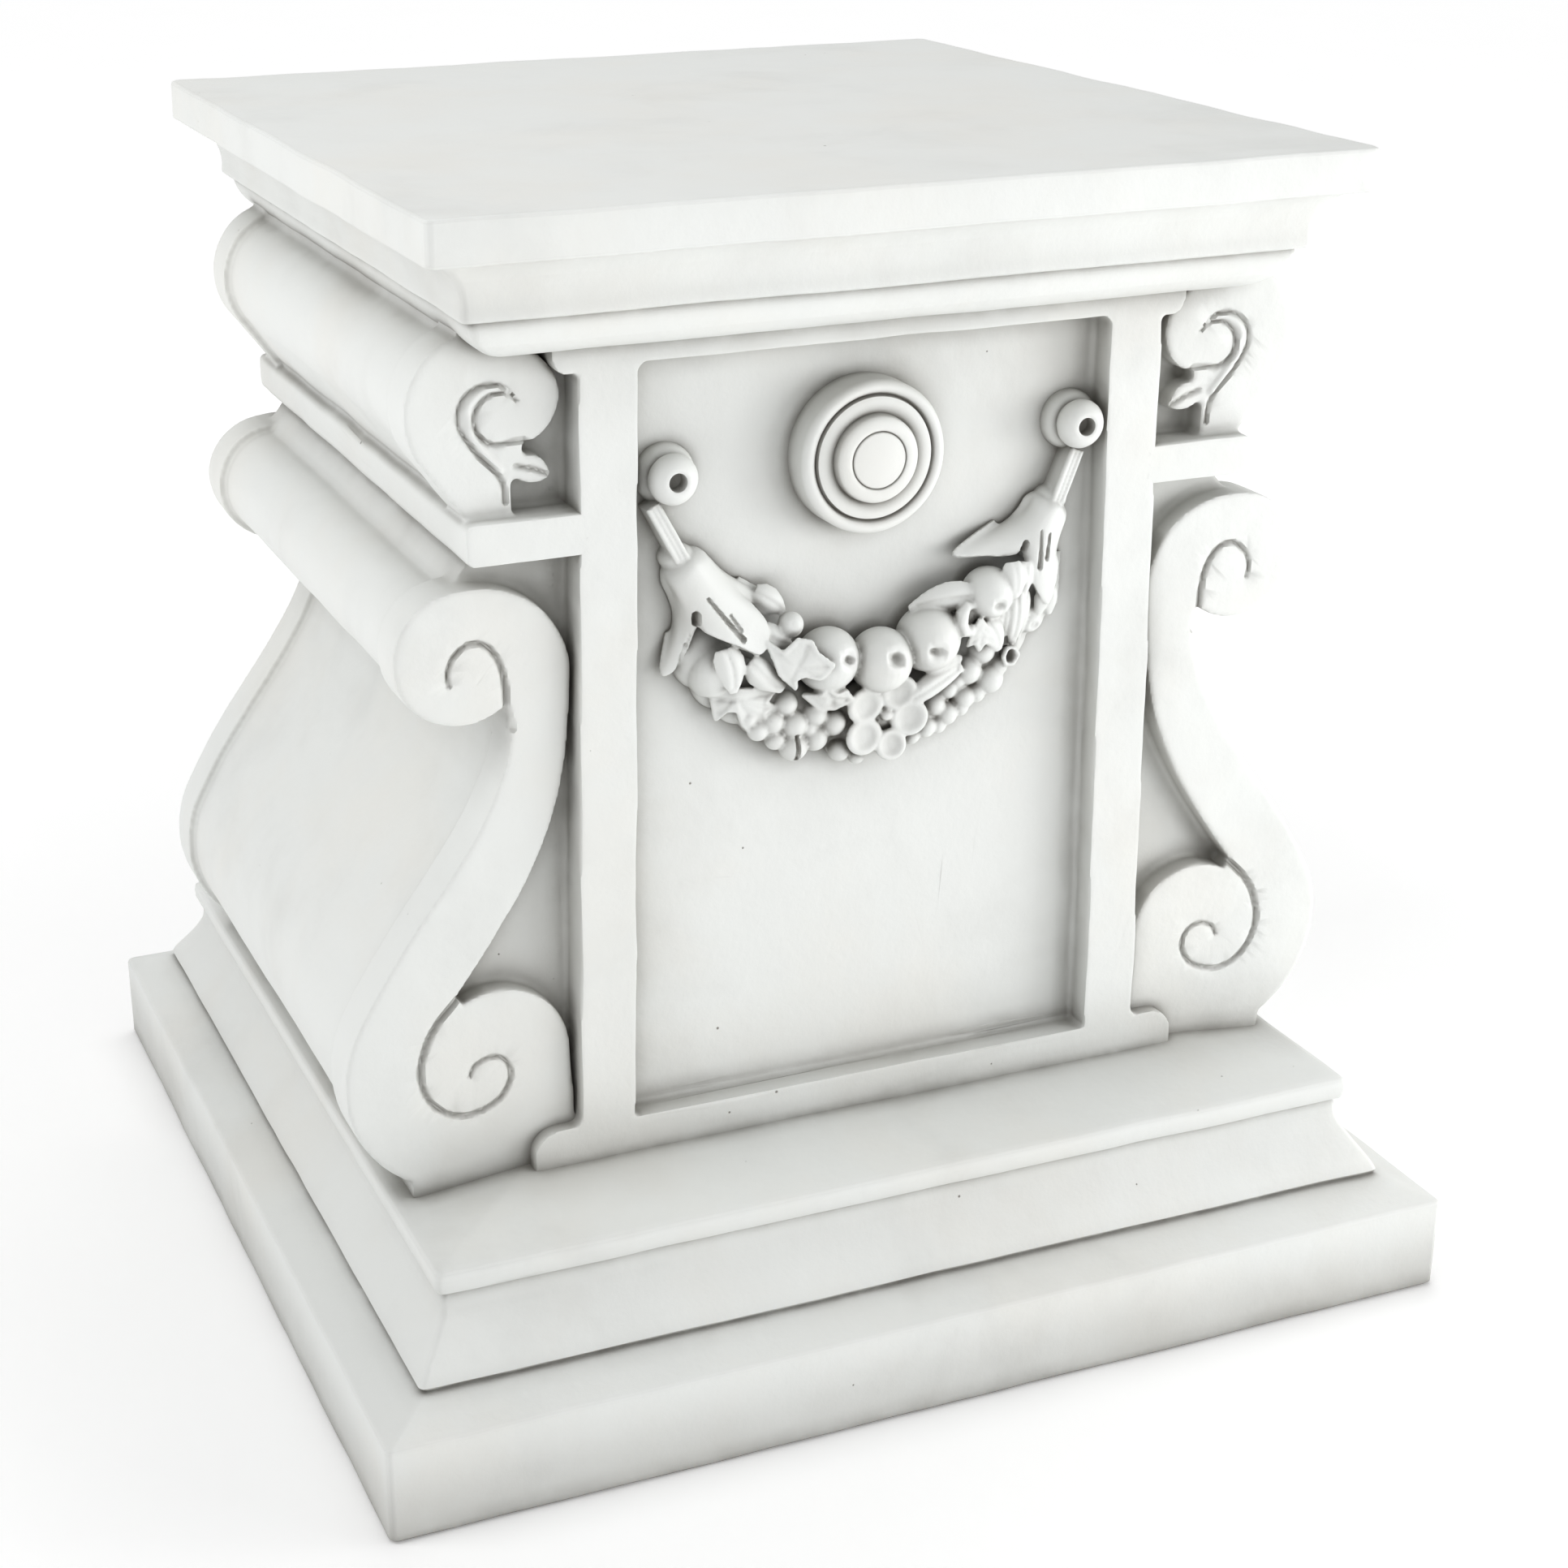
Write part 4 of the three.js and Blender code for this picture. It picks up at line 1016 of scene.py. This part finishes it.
class Paint:
    """A material under construction."""

    def __init__(self, name: str) -> None:
        """Starts a material with an empty node tree and a Principled shader."""
        self.material = bpy.data.materials.new(name)
        self.material.use_nodes = True
        self.tree = self.material.node_tree
        self.tree.nodes.clear()
        self.shader = self.tree.nodes.new("ShaderNodeBsdfPrincipled")
        output = self.tree.nodes.new("ShaderNodeOutputMaterial")
        self.tree.links.new(self.shader.outputs[0], output.inputs[0])
        self.place = self.node("ShaderNodeTexCoord", {}, {}, "Object")

    def node(self, kind: str, settings: dict, inputs: dict, output: str | int = 0) -> Socket:
        """Adds one node.

        Args:
            kind: the node's type.
            settings: its properties, which are set first.
            inputs: values or links for its sockets, by name or number.
            output: the socket to hand back.

        Returns:
            That output, ready for arithmetic.
        """
        made = self.tree.nodes.new(kind)
        for name, value in settings.items():
            setattr(made, name, value)
        for name, value in inputs.items():
            self.feed(made.inputs[name], value)
        return Socket(self, made.outputs[output])

    def feed(self, socket: bpy.types.NodeSocket, value: object) -> None:
        """Sets a socket to a value, or links it."""
        if isinstance(value, Socket):
            self.tree.links.new(value.out, socket)
        else:
            socket.default_value = value

    def noise(self, scale: float, detail: float = 3.0, swirl: float = 0.0) -> Socket:
        """Cloudy unevenness with features of about one over the scale, in metres."""
        inputs = {"Vector": self.place, "Scale": scale, "Detail": detail, "Roughness": 0.58,
                  "Distortion": swirl}
        return self.node("ShaderNodeTexNoise", {}, inputs)

    def mix(self, share: Socket | float, first: object, second: object) -> Socket:
        """A colour between two others."""
        return self.node("ShaderNodeMix", {"data_type": "RGBA"}, {0: share, 6: first, 7: second}, 2)

    def dots(self, scale: float, radius: float, share: float, shift: float) -> Socket:
        """Scattered round specks.

        Args:
            scale: cells per metre.
            radius: radius of the largest speck, in cells.
            share: how many cells hold one, from 0 to 1.
            shift: offset that sets this layer apart from others.

        Returns:
            1 in a speck and 0 outside.
        """
        spot = self.node("ShaderNodeMapping", {}, {"Vector": self.place, "Location": (shift,) * 3})
        near = self.node("ShaderNodeTexVoronoi", {}, {"Vector": spot, "Scale": scale}, "Distance")
        tint = Socket(self, near.out.node.outputs["Color"])
        pick = self.node("ShaderNodeSeparateColor", {}, {0: tint})
        size = (pick - (1 - share)) * (radius / share)
        return (size - near).band(0.0, radius * 0.35)

    def crevice(self, reach: float) -> Socket:
        """How shut in the surface is within a distance: 0 in the open, towards 1 in a corner."""
        seen = self.node("ShaderNodeAmbientOcclusion", {"samples": 2}, {"Distance": reach}, "AO")
        return 1 - seen


@dataclass(frozen=True)
class WhiteWithPaintedShade:
    """White cast finish with random mottle and smudges, painted shade in its creases, corners and
    recesses, darker towards the bottom, and pinholes with painted shade in them.
    """

    white: tuple[float, ...] = (0.80, 0.815, 0.795, 1)
    warm: tuple[float, ...] = (0.80, 0.79, 0.745, 1)
    # Painted shade: the dark colour laid into corners and creases.
    shade_dark: tuple[float, ...] = (0.165, 0.155, 0.135, 1)
    # Painted shade in recesses, the darkening towards the bottom and the random smudges all mix
    # towards this grey.
    shade_smudge_grey: tuple[float, ...] = (0.40, 0.395, 0.37, 1)
    # Painted shade inside the pinholes.
    pinhole_shade: tuple[float, ...] = (0.19, 0.17, 0.145, 1)

    def build(self) -> Finish:
        """Makes the material."""
        paint = Paint("aged_white")
        mottle = paint.noise(14, 4)
        fine = paint.noise(95, 5)
        smudge = paint.noise(19, 5, 0.3)
        # Masks of how shut in the surface is within 4, 9 and 34 mm; they place the painted shade
        # below, and the widest also raises the roughness.
        crease_mask = paint.crevice(0.004)
        corner = paint.crevice(0.009)
        hollow = paint.crevice(0.034)
        body = paint.mix(mottle.band(0.42, 0.72) * 0.5, self.white, self.warm)
        # Painted shade in recesses, varied by the mottle.
        recess_shade = hollow.band(0.06, 0.55) * (0.25 + mottle)
        height = paint.node("ShaderNodeSeparateXYZ", {}, {0: paint.place}, "Z")
        # Darker towards the bottom, within 36 mm of the floor, varied by the smudges.
        low_darkening = height.band(0.036, 0.0) * 0.16 * (0.4 + smudge)
        # Painted recess shade, plus the darkening towards the bottom, plus random smudges.
        recess_shade_bottom_smudges = recess_shade * 0.75 + low_darkening + smudge.band(0.46, 0.8) * 0.16 * (0.35 + fine)
        body_with_recess_shade = paint.mix(recess_shade_bottom_smudges, body, self.shade_smudge_grey)
        # Painted shade near corners, varied by the smudges.
        corner_shade = corner.band(0.1, 0.48) * (0.2 + smudge.band(0.3, 0.7) * 0.8)
        shaded = paint.mix(corner_shade * 0.75, body_with_recess_shade, self.shade_dark)
        # Painted shade as dark lines in tight creases.
        line = crease_mask.band(0.14, 0.38) * (0.55 + fine.band(0.3, 0.6) * 0.45)
        crease_shaded = paint.mix(line * 0.85, shaded, self.shade_dark)
        # Pinholes: painted shade inside them in the colour, and real dents in the bump below.
        pits = paint.dots(58, 0.043, 0.35, 0.0) + paint.dots(105, 0.055, 0.16, 3.1)
        pits = paint.node("ShaderNodeMath", {"operation": "MINIMUM"}, {0: pits, 1: 1.0})
        colour = paint.mix(pits * 0.85, crease_shaded, self.pinhole_shade)
        paint.feed(paint.shader.inputs["Base Color"], colour)
        paint.feed(paint.shader.inputs["Roughness"], 0.44 + fine * 0.14 + hollow * 0.2)
        paint.shader.inputs["Specular IOR Level"].default_value = 0.42
        rough = fine * 0.35 + paint.noise(420) * 0.12 + paint.noise(38) * 0.9 - pits * 0.8
        bump = paint.node("ShaderNodeBump", {},
                          {"Strength": 0.55, "Distance": 0.0011, "Height": rough})
        paint.feed(paint.shader.inputs["Normal"], bump)
        return paint.material


@dataclass(frozen=True)
class Studio:
    """White floor, soft lamps and the camera."""

    eye: Place = (-0.37908, -0.89255, 0.54130)
    ahead: Place = (0.350275, 0.854769, -0.382984)
    right: Place = (0.924450, -0.381264, -0.005433)
    up: Place = (0.150662, 0.352147, 0.923739)
    lens: float = 63.035
    shift: Point = (0.0582, 0.0260)
    lamps: tuple[tuple[Place, Place, float, float], ...] = (
        ((-1.1, 0.05, 0.95), (-0.15, 0, 0.3), 0.5, 3.7),
        ((-0.6, -0.5, 1.3), (0, 0, 0.3), 0.6, 2.4),
        ((0.95, -1, 0.3), (0, 0, 0.2), 0.6, 3.2),
        ((1.3, -0.6, 0.25), (0, 0, 0.2), 0.6, 8.6),
        ((0.3, 0.3, 1.6), (0, 0, 0.4), 0.8, 5),
    )

    def camera(self) -> None:
        """Stands the camera in the measured place."""
        data = bpy.data.cameras.new("camera")
        data.lens, data.sensor_width = self.lens, 36.0
        data.shift_x, data.shift_y = self.shift
        data.clip_start, data.clip_end = 0.01, 60
        camera = bpy.data.objects.new("camera", data)
        bpy.context.collection.objects.link(camera)
        turn = Matrix((self.right, self.up, [-a for a in self.ahead])).transposed()
        camera.matrix_world = Matrix.Translation(self.eye) @ turn.to_4x4()
        bpy.context.scene.camera = camera

    def lamp(self, place: Place, aim: Place, size: float, power: float) -> None:
        """Hangs a square soft lamp.

        Args:
            place: where it hangs, in metres.
            aim: the place that it looks at.
            size: its width.
            power: its strength in watts.
        """
        data = bpy.data.lights.new("softbox", "AREA")
        data.shape, data.size, data.energy = "SQUARE", size, power
        lamp = bpy.data.objects.new("softbox", data)
        bpy.context.collection.objects.link(lamp)
        lamp.location = place
        lamp.rotation_euler = (Vector(aim) - Vector(place)).to_track_quat("-Z", "Y").to_euler()

    def floor(self) -> None:
        """Lays the floor."""
        Bench.clear()
        bpy.ops.mesh.primitive_plane_add(size=30, location=(0, 0, -0.0004))
        floor = bpy.context.object
        floor.name = "floor"
        paint = Paint("studio_floor")
        grain = paint.noise(6, 2)
        paint.feed(paint.shader.inputs["Base Color"],
                   paint.mix(grain, (0.93, 0.93, 0.93, 1), (0.96, 0.96, 0.96, 1)))
        away = paint.node("ShaderNodeVectorMath", {"operation": "LENGTH"}, {0: paint.place},
                          "Value")
        glow = paint.mix(away.band(0.25, 1.3), (0.13, 0.13, 0.13, 1), (0.52, 0.52, 0.52, 1))
        paint.feed(paint.shader.inputs["Emission Color"], glow)
        paint.shader.inputs["Emission Strength"].default_value = 1.0
        paint.shader.inputs["Roughness"].default_value = 0.9
        paint.shader.inputs["Specular IOR Level"].default_value = 0.1
        floor.data.materials.append(paint.material)

    def build(self) -> None:
        """Sets up the camera, the floor, the world and the lamps."""
        self.camera()
        self.floor()
        world = bpy.data.worlds.new("studio")
        bpy.context.scene.world = world
        world.use_nodes = True
        background = world.node_tree.nodes["Background"]
        background.inputs[0].default_value = (1, 1, 1, 1)
        background.inputs[1].default_value = 0.5
        for place, aim, size, power in self.lamps:
            self.lamp(place, aim, size, power)
        bpy.context.scene.view_settings.view_transform = "Standard"


def base_profile() -> list[Point]:
    """Setbacks and heights of the plinth and base moulding, from the ground to the block."""
    cove = [(16.5 + 12.1 * sin(0.5 * pi * i / 12) ** 1.1,
             63.0 - 20.0 * (1 - i / 12) ** 1.35) for i in range(13)]
    return [
        (1, 0), (0, 1), (0, 16), (0, 33.2), (0.3, 34.2), (1.1, 34.8), (2.4, 35.2),
        (9.5, 38), (17.6, 41), (18.1, 41.6), (17, 42.2), (16.7, 42.9), *cove[1:],
        (28.9, 66), (29.2, 67.8), (28.6, 68.4), (27.2, 69.2), (26.5, 71), (26.3, 73.8),
        (26.8, 76), (27.9, 77), (30, 77.5), (45, 79.2), (62, 81.2), (74, 82.4),
    ]


def cornice_profile() -> list[Point]:
    """Setbacks and heights of the cornice and slab, from the block to the top."""
    lower = [(33.5 - 16.0 * sin(0.5 * pi * i / 10) ** 1.05,
              371.2 - 12.6 * cos(0.5 * pi * i / 10) ** 1.15) for i in range(11)]
    upper = [(14.2 - 11.0 * (1 - cos(0.5 * pi * i / 10)),
              376.8 + 14.8 * sin(0.5 * pi * i / 10)) for i in range(11)]
    return [
        (60, 358.6), *lower, (17.6, 372.2), (17, 372.6), (14.8, 372.9), (14.1, 373.5),
        (14, 374.6), *upper, (1.1, 391.9), (0.3, 392.3), (0, 393.1), (0, 400),
        (0, 404.7), (0.4, 405.6), (1.3, 406), (40, 406), (100, 406),
    ]


def roundel_profile() -> list[Point]:
    """Radii and heights of the roundel over the panel's floor."""
    bead = [(22.8 + 2.4 * cos(a), 9.8 + 2.4 * sin(a))
            for a in (pi * i / 12 for i in range(12))]
    dish = [(r, 11.6 + 0.7 * sin(pi * (21.0 - r) / 6.5))
            for r in np.linspace(19.9, 15, 7)]
    return [
        (25.6, -3), (25.3, 0), (25.2, 5), *bead[:10], (20.5, 10.3), (20.2, 11), *dish,
        (14.6, 11.4), (14.4, 11.8), (14.2, 13.8), (13.8, 14.6), (12.9, 15.2), (11, 15.5),
        (10, 15.4), (9.6, 15.2), (9.35, 14.7), (9.1, 15.2), (8.7, 15.5), (4, 15.9), (0.6, 15.9),
    ]


def peg_profile() -> list[Point]:
    """Radii and heights of a drilled peg over the panel's floor."""
    return [
        (10.2, -3), (10, 0), (9.9, 1.6), (9.5, 3.2), (8.7, 4.6), (7.6, 5.2), (7, 5.4),
        (6.8, 6), (7.3, 6.6), (8, 7.4), (8.2, 8.6), (8, 10), (7.3, 11.4), (6.2, 12.5),
        (4.8, 13.2), (3.6, 13.5), (3.1, 13.3), (2.9, 12.6), (2.8, 10), (2.6, 8.8), (1.2, 8.4),
        (0.4, 8.4),
    ]


def main() -> None:
    """Builds the pedestal in the studio, piece by piece."""
    logging.basicConfig(level=logging.INFO, format="%(message)s")
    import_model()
    Studio().build()
    finish = WhiteWithPaintedShade().build()
    pieces = (
        Moulding("base", 396.0, 392.0, 2.4, base_profile(), "pedestal"),
        Moulding("cornice", 316.0, 321.0, 1.8, cornice_profile()),
        PanelFront("front_panel", -1), PanelFront("back_panel", 1),
        Console("right_console", 1), Console("left_console", -1),
        Turned("roundel", -2.6, 314.6, roundel_profile()),
        Turned("left_peg", -70.5, 314.3, peg_profile()),
        Turned("right_peg", 73.5, 317.4, peg_profile()),
        Festoon(),
    )
    for piece in pieces:
        piece.build(finish)


if __name__ == "__main__":
    main()
